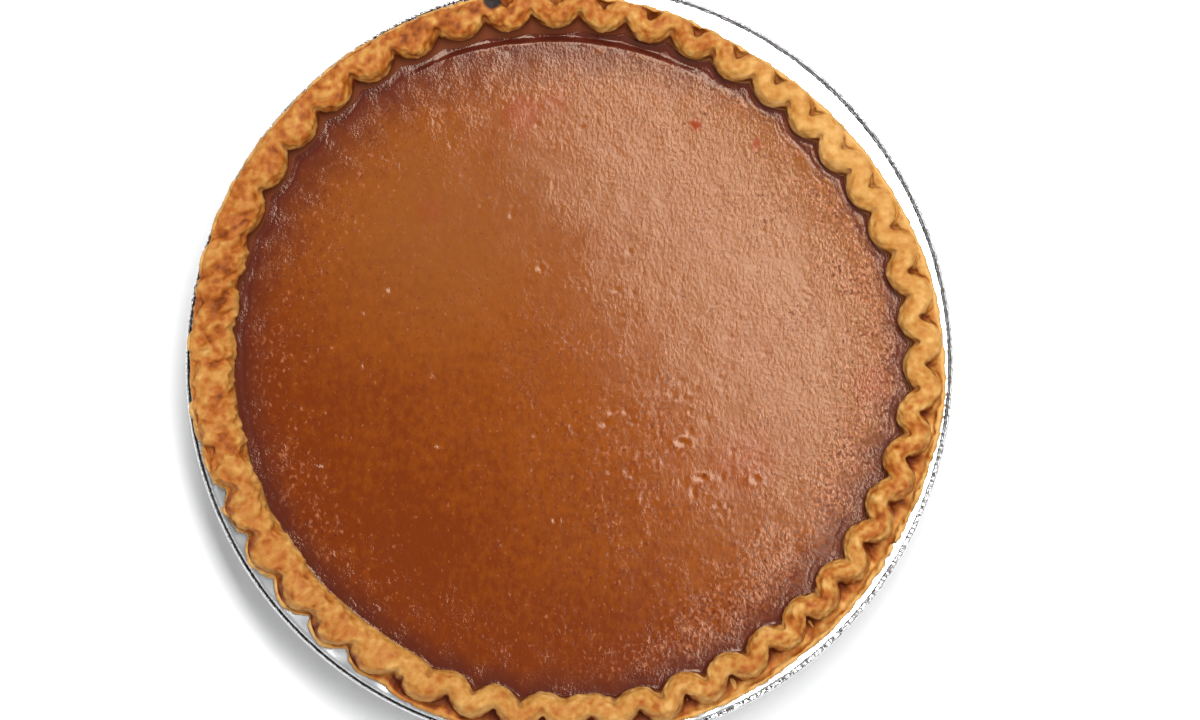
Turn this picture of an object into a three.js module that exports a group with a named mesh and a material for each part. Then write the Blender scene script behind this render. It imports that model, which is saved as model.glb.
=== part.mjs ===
// A whole baked pumpkin pie in its foil tin, in millimetres, with +Z up.
// The origin is the centre of the tin's base, on the surface that it stands on.
// +Y is the far side of the pie as it is seen from above, and angles run anticlockwise from +X.
// Each piece is a stack of rings of points, joined into one closed skin.
import * as THREE from 'three';

// Tin
const rimRadius = 122;
const tinDepth = 30;
const foil = 0.6;
const tinBaseRadius = 95;
const tinMouthRadius = 111;
const tinCornerRadius = 3;
const beadRadius = 1.2;
const pleats = 56;
const pleatDepth = 0.45;
const pleatDepthAtFoot = 0.15;
const baseGroove = { inner: 60, outer: 65, slope: 1, rise: 0.8 };

// Room left between neighbouring pieces
const gap = 0.3;

// Pastry shell, which rests on the stamped ring of the tin's base
const shellUnderside = foil + baseGroove.rise + gap;
const floorThickness = 4;
const floorTop = shellUnderside + floorThickness;
const floorCorner = { width: 4, height: 2 };
const wallThickness = 4.5;
const shellTopDrop = 2.5;

// Fluted ridge on the rim: a thick band of pastry that winds in and out round the rim
const flutes = 46;
const firstFlute = 6.2;
const fluteDrift = { mean: 0.6, swing: 0.75, towards: 300 };
const bandHalfWidth = 4;
const bandRoundness = 2.6;
// Lines along each side of the band, as shares of its half width
const bandLines = [0.55, 0.92, 1];
const windDepth = 2.3;
const ridgeTop = 40;
const lobeFoot = 34.6;
const lobeInnerRadius = 104.4;
const lipRadius = 119.4;
const lipThickness = 3.6;
const lipRounding = 0.9;
// How much higher the ridge is over a lobe than over a notch, each way from the mean
const lobeSwing = 0.45;
// How far hand work makes each size stray, each way. The winding's is a share of its depth.
const strays = { lobes: 0.35, winding: 0.14, ridge: 0.8, lipTop: 0.3, lipEdge: 0.3, filling: 1 };

// Places where the hand-made rim strays from a true circle: where, how widely and how far
const lobeSwells = [
  { at: 52, spread: 24, by: -2.4 },
  { at: 128, spread: 40, by: 4.2 },
  { at: 0, spread: 11, by: 1.9 },
  { at: 276, spread: 12, by: 1.1 },
  { at: 325, spread: 28, by: -1.2 },
];
const lipSwells = [
  { at: 54, spread: 27, by: -5 },
  { at: 150, spread: 42, by: 1.8 },
  { at: 356, spread: 9, by: 1.2 },
  { at: 325, spread: 22, by: -0.8 },
];
const lipLifts = [
  { at: 45, spread: 34, by: 1.8 },
  { at: 176, spread: 22, by: 3.2 },
];
// Where the band is thicker, because it was squashed
const bandSwells = [
  { at: 176, spread: 22, by: 1.5 },
  { at: 228, spread: 24, by: 0.4 },
];
// The share of the winding that is lost where the flutes were pressed flat
const flatSpots = [
  { at: 178, spread: 19, by: -0.62 },
  { at: 272, spread: 4, by: -0.45 },
];
// The share of each inner notch that is closed up
const closedNotches = [
  { at: 230, spread: 20, by: 0.65 },
];

// Filling
const fillingLevel = 30.5;
const edgeRise = 1.3;
const edgeWidth = 3;
const crown = 0.7;
const wallTop = fillingLevel + edgeRise;
// Where the filling has shrunk from the pastry and sunk along its edge
const sunkenStretch = [
  { at: 92, spread: 13, by: 2.6 },
];
const sunkenWidth = 6.5;

// Points round each ring: the ridge is fine, and the plain walls are coarse
const stationsPerFlute = 8;
const fineStations = flutes * stationsPerFlute;
const coarseStep = 4;

const radians = THREE.MathUtils.degToRad;
const { lerp, clamp } = THREE.MathUtils;

// The shortest way round from one angle to another, in degrees
function turn(from, to) {
  return ((to - from + 540) % 360) - 180;
}

// The sum of smooth local swells at an angle
function swell(list, angle) {
  const share = (at, spread) => Math.exp(-0.5 * (turn(at, angle) / spread) ** 2);
  return list.reduce((sum, { at, spread, by }) => sum + by * share(at, spread), 0);
}

// Smooth unevenness between about -1 and 1, which closes on itself after a whole turn
function unevenness(angle, start) {
  const waves = [
    { turns: 5, share: 0.35, phase: start },
    { turns: 13, share: 0.35, phase: 2 * start },
    { turns: 19, share: 0.3, phase: 3 * start },
  ];
  const wave = ({ turns, share, phase }) => share * Math.sin(turns * radians(angle) + phase);
  return waves.reduce((sum, each) => sum + wave(each), 0);
}

function point(angle, radius, z) {
  return new THREE.Vector3(radius * Math.cos(radians(angle)), radius * Math.sin(radians(angle)), z);
}

// The angle of a place on the rim, counted in flutes from the first one
function rimAngle(count) {
  const even = firstFlute + (360 * count) / flutes;
  return even + fluteDrift.mean + fluteDrift.swing * Math.cos(radians(even - fluteDrift.towards));
}

function halfWidth(angle) {
  return bandHalfWidth + swell(bandSwells, angle);
}

// The inner edge of the lobes at an angle
function lobeEdge(angle) {
  return lobeInnerRadius + swell(lobeSwells, angle) + strays.lobes * unevenness(angle, 1.1);
}

// The middle line of the winding band: innermost at each whole flute, outermost halfway between
function bandMiddle(count) {
  const angle = rimAngle(count);
  const depth = windDepth * (1 + swell(flatSpots, angle)) * (1 + strays.winding * unevenness(angle, 2.3));
  return lobeEdge(angle) + halfWidth(angle) + depth * (1 - Math.cos(2 * Math.PI * count));
}

// The band's middle line as short straight steps, for measuring distances to it by repeated halving
const stepsPerFlute = 24;
const halvings = 20;
const bandPath = Array.from({ length: flutes * stepsPerFlute }, (_, i) => {
  const count = i / stepsPerFlute;
  return point(rimAngle(count), bandMiddle(count), 0);
});

function distanceToBand(count, at) {
  const nearest = new THREE.Vector3();
  const step = new THREE.Line3();
  const middle = Math.round(count * stepsPerFlute);
  const reach = Math.round(1.25 * stepsPerFlute);
  let best = Infinity;
  for (let i = middle - reach; i < middle + reach; i++) {
    const total = bandPath.length;
    step.set(bandPath[(i + total) % total], bandPath[(i + 1 + total) % total]);
    best = Math.min(best, step.closestPointToPoint(at, true, nearest).distanceTo(at));
  }
  return best;
}

// The radius at which the band is a given distance from its middle line, on its inner (-1) or outer (1) side.
// Where the band bends, its hollow side folds into the sharp crease of the flute.
function bandSide(count, distance, side) {
  const angle = rimAngle(count);
  let near = bandMiddle(count);
  let far = near + side * (distance + 3 * windDepth);
  for (let i = 0; i < halvings; i++) {
    const middle = (near + far) / 2;
    if (distanceToBand(count, point(angle, middle, 0)) < distance) near = middle;
    else far = middle;
  }
  return (near + far) / 2;
}

// A ring of points on the rim, one for every station or for every coarseStep-th one
function rimRing(every, place) {
  return Array.from({ length: fineStations / every }, (_, i) => {
    const count = (i * every) / stationsPerFlute;
    const angle = rimAngle(count);
    const [radius, z] = place(angle, count);
    return point(angle, radius, z);
  });
}

function evenRing(stations, place) {
  return Array.from({ length: stations }, (_, i) => {
    const angle = (360 * i) / stations;
    const [radius, z] = place(angle, i);
    return point(angle, radius, z);
  });
}

// Joins neighbouring rings into one closed skin. Of two neighbours, one may hold a whole number of times
// as many points as the other. Between equal rings, each patch is split along its shorter diagonal.
function skin(rings) {
  const starts = [];
  rings.reduce((start, ring) => (starts.push(start), start + ring.length), 0);
  const index = [];
  for (let k = 0; k + 1 < rings.length; k++) {
    const [upper, lower] = [rings[k], rings[k + 1]];
    if (upper.length === lower.length) {
      for (let j = 0; j < upper.length; j++) {
        const after = (j + 1) % upper.length;
        const [a, b] = [starts[k] + j, starts[k] + after];
        const [c, d] = [starts[k + 1] + j, starts[k + 1] + after];
        const straight = upper[j].distanceTo(lower[after]) < upper[after].distanceTo(lower[j]);
        index.push(...(straight ? [a, c, d, a, d, b] : [a, c, b, b, c, d]));
      }
      continue;
    }
    const shrinks = upper.length > lower.length;
    const [fine, coarse] = shrinks ? [k, k + 1] : [k + 1, k];
    const [fineCount, coarseCount] = [rings[fine].length, rings[coarse].length];
    const ratio = fineCount / coarseCount;
    const half = Math.ceil(ratio / 2);
    const face = (p, q, r) => index.push(...(shrinks ? [p, r, q] : [p, q, r]));
    for (let j = 0; j < coarseCount; j++) {
      const fineAt = (t) => starts[fine] + ((j * ratio + t) % fineCount);
      const here = starts[coarse] + j;
      const next = starts[coarse] + ((j + 1) % coarseCount);
      for (let t = 0; t < ratio; t++) face(fineAt(t), fineAt(t + 1), t < half ? here : next);
      if (coarseCount > 1) face(fineAt(half), next, here);
    }
  }
  const geometry = new THREE.BufferGeometry();
  const places = rings.flat().flatMap((p) => p.toArray());
  geometry.setAttribute('position', new THREE.Float32BufferAttribute(places, 3));
  geometry.setIndex(index);
  geometry.computeVertexNormals();
  return geometry;
}

// The tin's wall, from the foot of its slope to its mouth
function tinWallRadius(z) {
  return lerp(tinBaseRadius, tinMouthRadius, clamp((z - foil) / (tinDepth - foil), 0, 1));
}

// A stamped foil tin: a grooved base, a pleated wall, a flat flange and an edge that is curled under
function tinGeometry() {
  const stations = 2 * pleats;
  const cornerRise = tinCornerRadius / 3;
  const mouth = tinDepth - 1;
  const wall = (z, i, depth) => tinWallRadius(z) + (i % 2 ? 1 : -1) * depth;
  const beadRing = (degrees) =>
    evenRing(stations, () => [
      rimRadius - beadRadius + beadRadius * Math.cos(radians(degrees)),
      tinDepth - beadRadius + beadRadius * Math.sin(radians(degrees)),
    ]);
  const grooveRings = (z) => [
    evenRing(pleats, () => [baseGroove.inner - baseGroove.slope, z]),
    evenRing(pleats, () => [baseGroove.inner, z + baseGroove.rise]),
    evenRing(pleats, () => [baseGroove.outer, z + baseGroove.rise]),
    evenRing(pleats, () => [baseGroove.outer + baseGroove.slope, z]),
  ];
  return skin([
    [new THREE.Vector3(0, 0, foil)],
    ...grooveRings(foil),
    evenRing(stations, () => [tinBaseRadius - tinCornerRadius, foil]),
    evenRing(stations, (_, i) => [wall(foil + cornerRise, i, pleatDepthAtFoot), foil + cornerRise]),
    evenRing(stations, (_, i) => [wall(mouth, i, pleatDepth), mouth]),
    evenRing(stations, () => [tinMouthRadius + 1, tinDepth]),
    ...[90, 45, 0, -70, -180].map(beadRing),
    evenRing(stations, () => [rimRadius - 2 * beadRadius - foil, tinDepth - foil]),
    evenRing(stations, () => [tinMouthRadius + 1 + foil / 2, tinDepth - foil]),
    evenRing(stations, (_, i) => [wall(mouth, i, pleatDepth) + foil, mouth - foil]),
    evenRing(stations, (_, i) => [wall(foil + cornerRise, i, pleatDepthAtFoot) + foil, cornerRise]),
    evenRing(stations, () => [tinBaseRadius - tinCornerRadius + foil, 0]),
    ...grooveRings(0).reverse(),
    [new THREE.Vector3(0, 0, 0)],
  ]);
}

// The pastry's inner wall, from the floor of the shell up to the foot of the lobes. The filling fits inside it.
function innerWall(angle, inset) {
  const slopeTop = tinDepth - shellTopDrop;
  const cone = (z) => tinWallRadius(z) - pleatDepth - gap - wallThickness;
  const neck = lobeEdge(angle) - gap;
  return {
    floorEdge: [cone(floorTop) - floorCorner.width - inset, floorTop + inset],
    foot: [cone(floorTop + floorCorner.height) - inset, floorTop + floorCorner.height + inset],
    slope: [cone(slopeTop) - inset, slopeTop],
    radiusAt: (z) => lerp(cone(slopeTop), neck, (z - slopeTop) / (wallTop - slopeTop)) - inset,
  };
}

function lipTop(angle) {
  return tinDepth + gap + lipThickness + swell(lipLifts, angle) + strays.lipTop * unevenness(angle, 4.2);
}

function lipEdge(angle) {
  const radius = lipRadius + swell(lipSwells, angle) + strays.lipEdge * unevenness(angle, 5.3);
  return Math.min(radius, rimRadius - gap);
}

function ridgeHeight(angle, count) {
  const swing = lobeSwing * (1 + swell(flatSpots, angle)) * Math.cos(2 * Math.PI * count);
  return ridgeTop + strays.ridge * unevenness(angle, 3.1) + swing;
}

// The height of the band's rounded section between its foot and its top, at a share of its half width
function bandHeight(share, foot, top) {
  return lerp(foot, top, (1 - share ** bandRoundness) ** (1 / bandRoundness));
}

// A line along the inner side of the band, whose notches are partly closed in places
function innerBandRing(share) {
  return rimRing(1, (angle, count) => {
    const open = bandSide(count, share * halfWidth(angle), -1);
    const closed = lobeEdge(angle) + (1 - share) * halfWidth(angle);
    const radius = lerp(open, Math.min(open, closed), swell(closedNotches, angle));
    return [radius, bandHeight(share, lobeFoot, ridgeHeight(angle, count))];
  });
}

// A line along the outer side of the band, which is squeezed where it would reach past the lip's rounded edge
function outerBandRing(share) {
  return rimRing(1, (angle, count) => {
    const room = lipEdge(angle) - lipRounding - gap * (2 - share);
    const radius = Math.min(bandSide(count, share * halfWidth(angle), 1), room);
    return [radius, bandHeight(share, lipTop(angle), ridgeHeight(angle, count))];
  });
}

// The pastry: a shell that lines the tin, a flat lip on the flange, and the fluted ridge that winds along it
function crustGeometry() {
  const outerWall = (z) => tinWallRadius(z) - pleatDepth - gap;
  const shellFoot = shellUnderside + floorCorner.height;
  const wallRing = (name) => rimRing(coarseStep, (angle) => innerWall(angle, 0)[name]);
  const lipRing = (every, inset, height) =>
    rimRing(every, (angle) => [lipEdge(angle) - inset, lerp(tinDepth + gap, lipTop(angle), height)]);
  return skin([
    [new THREE.Vector3(0, 0, floorTop)],
    wallRing('floorEdge'),
    wallRing('foot'),
    wallRing('slope'),
    rimRing(coarseStep, (angle) => [innerWall(angle, 0).radiusAt(wallTop), wallTop]),
    ...bandLines.toReversed().map(innerBandRing),
    rimRing(1, (angle, count) => [bandMiddle(count), ridgeHeight(angle, count)]),
    ...bandLines.map(outerBandRing),
    lipRing(1, lipRounding, 1),
    lipRing(1, 0, 0.5),
    lipRing(coarseStep, lipRounding, 0),
    rimRing(coarseStep, () => [tinMouthRadius + 1 - gap / 3, tinDepth + gap]),
    rimRing(coarseStep, () => [outerWall(tinDepth - 1) - gap / 3, tinDepth - foil]),
    rimRing(coarseStep, () => [outerWall(shellFoot), shellFoot]),
    rimRing(coarseStep, () => [tinBaseRadius - tinCornerRadius - 1, shellUnderside]),
    [new THREE.Vector3(0, 0, shellUnderside)],
  ]);
}

// The set custard: it fills the shell, climbs a little where it clings to the pastry, and is faintly crowned.
// Along the sunken stretch its edge drops instead, and bares the pastry's wall.
function fillingGeometry() {
  const surface = (fromEdge) => (angle) => {
    const sunken = swell(sunkenStretch, angle);
    const top = wallTop - sunken;
    const edge = innerWall(angle, gap).radiusAt(top);
    const share = 1 - fromEdge / edge;
    const climb = edgeRise * Math.exp(-((fromEdge / edgeWidth) ** 2));
    const drop = sunken * Math.exp(-((fromEdge / sunkenWidth) ** 4));
    const waves = strays.filling * unevenness(angle, 6.4) * share * (1 - share);
    return [edge * share, fillingLevel + crown * (1 - share ** 2) + climb - drop + waves];
  };
  const surfaceRing = (every) => (fromEdge) => rimRing(every, surface(fromEdge));
  const wallRing = (name) => rimRing(coarseStep, (angle) => innerWall(angle, gap)[name]);
  return skin([
    [new THREE.Vector3(0, 0, fillingLevel + crown)],
    ...[65, 30].map(surfaceRing(2 * coarseStep)),
    ...[9, 5.5, 2.2, 0].map(surfaceRing(coarseStep)),
    wallRing('slope'),
    wallRing('foot'),
    wallRing('floorEdge'),
    [new THREE.Vector3(0, 0, floorTop + gap)],
  ]);
}

function piece(name, geometry, colour, roughness, metalness) {
  const material = new THREE.MeshStandardMaterial({ color: colour, roughness, metalness });
  const mesh = new THREE.Mesh(geometry, material);
  mesh.name = name;
  return mesh;
}

const pie = new THREE.Group();
pie.add(piece('foil_tin', tinGeometry(), '#d9dadb', 0.35, 0.95));
pie.add(piece('pastry_crust', crustGeometry(), '#cf9450', 0.75, 0));
pie.add(piece('pumpkin_filling', fillingGeometry(), '#9c5220', 0.4, 0));

export default pie;
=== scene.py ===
"""A whole baked pumpkin pie in its own foil tin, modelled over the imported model.

Three sub-assemblies make the pie: the stamped foil tin, the crimped pastry crust and the set custard filling.
Sizes are in millimetres and angles in degrees, anticlockwise from +X, and a mesh is in metres. A place on the
rim is counted in flutes, which are the crimps that run round it.
"""

import itertools
import logging
import math
from collections.abc import Callable
from dataclasses import dataclass, field
from enum import Enum
from functools import partial

import bpy
import numpy as np
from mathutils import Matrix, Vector


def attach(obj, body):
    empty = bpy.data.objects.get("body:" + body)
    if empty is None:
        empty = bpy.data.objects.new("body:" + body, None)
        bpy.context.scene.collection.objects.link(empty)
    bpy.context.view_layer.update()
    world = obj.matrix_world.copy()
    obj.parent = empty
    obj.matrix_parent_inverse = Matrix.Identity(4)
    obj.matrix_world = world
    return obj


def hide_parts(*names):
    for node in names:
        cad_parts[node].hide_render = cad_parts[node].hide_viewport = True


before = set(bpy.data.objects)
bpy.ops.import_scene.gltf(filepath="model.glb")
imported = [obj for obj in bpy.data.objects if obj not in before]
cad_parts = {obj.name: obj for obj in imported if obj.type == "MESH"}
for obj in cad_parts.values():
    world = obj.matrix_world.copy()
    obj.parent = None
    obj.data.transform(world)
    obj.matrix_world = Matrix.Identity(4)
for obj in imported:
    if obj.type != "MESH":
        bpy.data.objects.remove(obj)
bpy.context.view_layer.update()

MM = 0.001
BODY = "root"
log = logging.getLogger("pumpkin_pie")

Numbers = np.ndarray
Profile = list[tuple[float, float]]
Pairs = tuple[tuple[float, float], ...]
Triples = tuple[tuple[float, float, float], ...]


class Blemish(Enum):
    """A mark that baking leaves in the custard's skin."""

    BUBBLE = "a low blister that didn't burst"
    CRATER = "a burst bubble, with a raised ring round a dip"
    PIT = "a small dent"


def blend(low: Numbers, high: Numbers, share: Numbers) -> Numbers:
    """The value that lies at a share of the way from low to high."""
    return low + (high - low) * share


def rise(low: float, high: float, value: Numbers) -> Numbers:
    """Climbs smoothly from 0 at low to 1 at high."""
    share = np.clip((value - low) / (high - low), 0, 1)
    return share * share * (3 - 2 * share)


def between(value: Numbers, low: float, full: float, fading: float, gone: float) -> Numbers:
    """Climbs smoothly from 0 at low to 1 at full, and falls again from fading to gone."""
    return rise(low, full, value) * (1 - rise(fading, gone, value))


def hump(value: Numbers, width: Numbers) -> Numbers:
    """A smooth hump: 1 where the value is 0, and falling away on both sides over a width."""
    return np.exp(-((value / width) ** 2))


def unevenness(angle: Numbers, start: float) -> Numbers:
    """Smooth unevenness between about -1 and 1, which closes on itself after a whole turn."""
    waves = ((5, 0.35, start), (13, 0.35, 2 * start), (19, 0.3, 3 * start))
    return sum(share * np.sin(turns * np.radians(angle) + phase) for turns, share, phase in waves)


def polar(points: Numbers) -> tuple[Numbers, Numbers]:
    """Each point's distance from the pie's axis and its angle in degrees."""
    return away_from(points, 0, 0), np.degrees(np.arctan2(points[..., 1], points[..., 0]))


def away_from(points: Numbers, x: float, y: float) -> Numbers:
    """Each point's distance from a place, seen from above."""
    return np.hypot(points[..., 0] - x, points[..., 1] - y)


def bearing(angle: float) -> tuple[float, float, float]:
    """The level direction of an angle in degrees."""
    return math.cos(math.radians(angle)), math.sin(math.radians(angle)), 0.0


class Course:
    """A value that changes smoothly round the rim from each angle at which it is given to the next."""

    def __init__(self, *stops: tuple[float, float]) -> None:
        """Keeps the values, each with its angle in degrees, in rising order."""
        angles, values = np.array(stops, float).T
        self.angles = np.concatenate([angles[-1:] - 360, angles, angles[:1] + 360])
        self.values = np.concatenate([values[-1:], values, values[:1]])

    def at(self, angle: Numbers) -> Numbers:
        """Reads the value.

        Args:
            angle: Angles in degrees.

        Returns:
            The value at each angle.
        """
        wrapped = (angle - self.angles[1]) % 360 + self.angles[1]
        place = np.interp(wrapped, self.angles, np.arange(len(self.angles)))
        low = np.minimum(place.astype(int), len(self.angles) - 2)
        return blend(self.values[low], self.values[low + 1], rise(0, 1, place - low))


class Swells:
    """Smooth local changes of a size round the rim."""

    def __init__(self, *swells: tuple[float, float, float]) -> None:
        """Keeps the changes, each as its angle, its spread in degrees and its amount."""
        self.swells = swells

    def at(self, angle: Numbers) -> Numbers:
        """The sum of the changes at each angle, in degrees."""
        turned = [((angle - middle + 540) % 360 - 180, spread, by) for middle, spread, by in self.swells]
        return sum(by * np.exp(-0.5 * (away / spread) ** 2) for away, spread, by in turned)


class Grain:
    """Seeded smooth noise in space, for the unevenness that hands and an oven leave."""

    cells = 256

    def __init__(self, seed: int) -> None:
        """Draws the noise's slopes.

        Args:
            seed: The start of the random draw, so that each run gives the same noise.
        """
        draw = np.random.default_rng(seed)
        self.order = draw.permutation(self.cells)
        slopes = draw.normal(size=(self.cells, 3))
        self.slopes = slopes / np.linalg.norm(slopes, axis=1, keepdims=True)

    def at(self, points: Numbers, size: float) -> Numbers:
        """Noise between about -1 and 1.

        Args:
            points: Points in mm, with their three coordinates on the last axis.
            size: The width of a lump in mm.

        Returns:
            The noise at each point.
        """
        flat = points.reshape(-1, 3) / size
        cell = np.floor(flat).astype(int)
        inside = flat - cell
        fade = inside**3 * (inside * (inside * 6 - 15) + 10)
        total = np.zeros(len(flat))
        for corner in itertools.product((0, 1), repeat=3):
            x, y, z = ((cell + corner) % self.cells).T
            pick = self.order[(self.order[(self.order[x] + y) % self.cells] + z) % self.cells]
            weight = np.prod(np.where(corner, fade, 1 - fade), axis=1)
            total += weight * np.sum(self.slopes[pick] * (inside - corner), axis=1)
        return (1.7 * total).reshape(points.shape[:-1])

    def layered(self, points: Numbers, size: float, layers: int) -> Numbers:
        """Noise of several sizes, each half as wide and half as strong as the one before."""
        parts = [self.at(points + 31.7 * i, size / 2**i) / 2**i for i in range(layers)]
        return sum(parts) / sum(1 / 2**i for i in range(layers))


@dataclass(frozen=True)
class PhotoView:
    """How the reference picture sees the pie: its frame, its scale and the way that it looks."""

    frame_width: int = 1200
    frame_height: int = 720
    centre_x: float = 569.5
    centre_y: float = 363.0
    pixel: float = 0.3181
    elevation: float = 86.0
    lens: float = 180.0
    sensor: float = 36.0

    def place(self, x: float, y: float) -> tuple[float, float]:
        """The place on the pie, in mm, that shows at a pixel of the picture."""
        return (x - self.centre_x) * self.pixel, (self.centre_y - y) * self.pixel

    def distance(self) -> float:
        """How far the camera stands from the pie, in mm."""
        return self.frame_width * self.pixel * self.lens / self.sensor


PHOTO = PhotoView()


# Making and dressing meshes


def deselect() -> None:
    """Leaves edit mode and selects nothing."""
    if bpy.context.object and bpy.context.object.mode != "OBJECT":
        bpy.ops.object.mode_set(mode="OBJECT")
    bpy.ops.object.select_all(action="DESELECT")


def lathe(name: str, profile: Profile, sector_steps: int, doublings: int) -> bpy.types.Object:
    """Draws a profile point by point, spins one sector of it and doubles that until the round is full.

    Args:
        name: The new piece's name.
        profile: Radius and height of each point, in mm, from the axis round the outside and back to the axis.
        sector_steps: The number of steps in the first sector.
        doublings: How often the sector is doubled.

    Returns:
        The piece, a closed skin with its origin at the world's.
    """
    deselect()
    first = profile[0]
    bpy.ops.mesh.primitive_plane_add(size=MM, location=(first[0] * MM, 0, first[1] * MM))
    piece = bpy.context.object
    piece.name = piece.data.name = name
    bpy.ops.object.transform_apply(location=True)
    bpy.ops.object.mode_set(mode="EDIT")
    bpy.ops.mesh.select_all(action="SELECT")
    bpy.ops.mesh.merge(type="CENTER")
    for (r0, z0), (r1, z1) in itertools.pairwise(profile):
        step = ((r1 - r0) * MM, 0, (z1 - z0) * MM)
        bpy.ops.mesh.extrude_region_move(TRANSFORM_OT_translate={"value": step})
    sector = math.tau / 2**doublings
    bpy.ops.mesh.select_all(action="SELECT")
    bpy.ops.mesh.spin(steps=sector_steps, angle=sector, center=(0, 0, 0), axis=(0, 0, 1))
    for doubling in range(doublings):
        bpy.ops.mesh.select_all(action="SELECT")
        bpy.ops.mesh.duplicate()
        bpy.ops.transform.rotate(value=sector * 2**doubling, orient_axis="Z", center_override=(0, 0, 0))
    bpy.ops.mesh.select_all(action="SELECT")
    bpy.ops.mesh.remove_doubles(threshold=0.002 * MM)
    bpy.ops.mesh.normals_make_consistent(inside=False)
    bpy.ops.object.mode_set(mode="OBJECT")
    return piece


def points_of(piece: bpy.types.Object) -> Numbers:
    """Reads a piece's vertices.

    Args:
        piece: The piece.

    Returns:
        Its vertices as an array of points in mm.
    """
    flat = np.zeros(3 * len(piece.data.vertices))
    piece.data.vertices.foreach_get("co", flat)
    return flat.reshape(-1, 3) / MM


def move_points(piece: bpy.types.Object, points: Numbers) -> None:
    """Moves a piece's vertices to points given in mm."""
    piece.data.vertices.foreach_set("co", (points * MM).astype(np.float32).ravel())
    piece.data.update()


def mark(piece: bpy.types.Object, marks: dict[str, Numbers]) -> None:
    """Keeps numbers on a piece's vertices, which its finish reads by name.

    Args:
        piece: The piece.
        marks: Each mark's name and its numbers, for all the vertices or for the first ones. The rest get 0.
    """
    for name, values in marks.items():
        full = np.zeros(len(piece.data.vertices), np.float32)
        full[: len(values)] = values
        piece.data.attributes.new(name, "FLOAT", "POINT").data.foreach_set("value", full)


def finish_piece(piece: bpy.types.Object, node: str, material: bpy.types.Material) -> None:
    """Smooths a finished piece, dresses it and lets it stand for its solid.

    Args:
        piece: The finished piece.
        node: The solid that it stands for.
        material: Its finish.
    """
    deselect()
    piece.select_set(True)
    bpy.context.view_layer.objects.active = piece
    bpy.ops.object.shade_smooth()
    piece.data.materials.append(material)
    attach(piece, BODY)
    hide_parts(node)
    log.info("%s: %d faces", piece.name, len(piece.data.polygons))


def linear(colour: str) -> tuple[float, float, float, float]:
    """Turns an sRGB colour such as "c08a4e" to the linear light that Blender works in."""
    parts = [int(colour[i : i + 2], 16) / 255 for i in (0, 2, 4)]
    return *(p / 12.92 if p <= 0.04045 else ((p + 0.055) / 1.055) ** 2.4 for p in parts), 1.0


def plug(node: bpy.types.Node, inputs: dict) -> None:
    """Sets a node's inputs.

    Args:
        node: The node.
        inputs: A value, or another node's output to link, for each input socket by name or number.
    """
    for socket, value in inputs.items():
        if isinstance(value, bpy.types.NodeSocket):
            node.id_data.links.new(value, node.inputs[socket])
        else:
            node.inputs[socket].default_value = value


def add_node(
    tree: bpy.types.NodeTree, kind: str, inputs: dict, output: int | str = 0, **settings
) -> bpy.types.NodeSocket:
    """Adds a node to a material.

    Args:
        tree: The material's node tree.
        kind: The node's type, without its "ShaderNode".
        inputs: Its inputs, as plug takes them.
        output: The name or number of the output that is wanted.
        settings: The node's own settings.

    Returns:
        The node's output.
    """
    node = tree.nodes.new("ShaderNode" + kind)
    for name, value in settings.items():
        setattr(node, name, value)
    plug(node, inputs)
    return node.outputs[output]


# Settings and sockets of a node that mixes two colours, and settings of one that scales and then adds
MIX = {"data_type": "RGBA"}
MIX_A, MIX_B, MIX_OUT = 6, 7, 2
SCALE_AND_ADD = {"operation": "MULTIPLY_ADD"}


def new_material(name: str, *marks: str) -> tuple[bpy.types.Material, Callable, bpy.types.NodeSocket, dict]:
    """Makes a material with a Principled shader.

    Args:
        name: The common name of the real surface.
        marks: The names of the marks on the piece's vertices that it reads.

    Returns:
        The material, the call that adds a node to it, the place on the piece, and the marks by name.
    """
    material = bpy.data.materials.new(name)
    material.use_nodes = True
    add = partial(add_node, material.node_tree)
    place = add("TexCoord", {}, "Object")
    return material, add, place, {each: add("Attribute", {}, "Fac", attribute_name=each) for each in marks}


def shade(material: bpy.types.Material, inputs: dict) -> bpy.types.Material:
    """Sets the inputs of a material's shader, and hands the material on."""
    plug(material.node_tree.nodes["Principled BSDF"], inputs)
    return material


# The rim's plan, which crust and custard share


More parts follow.
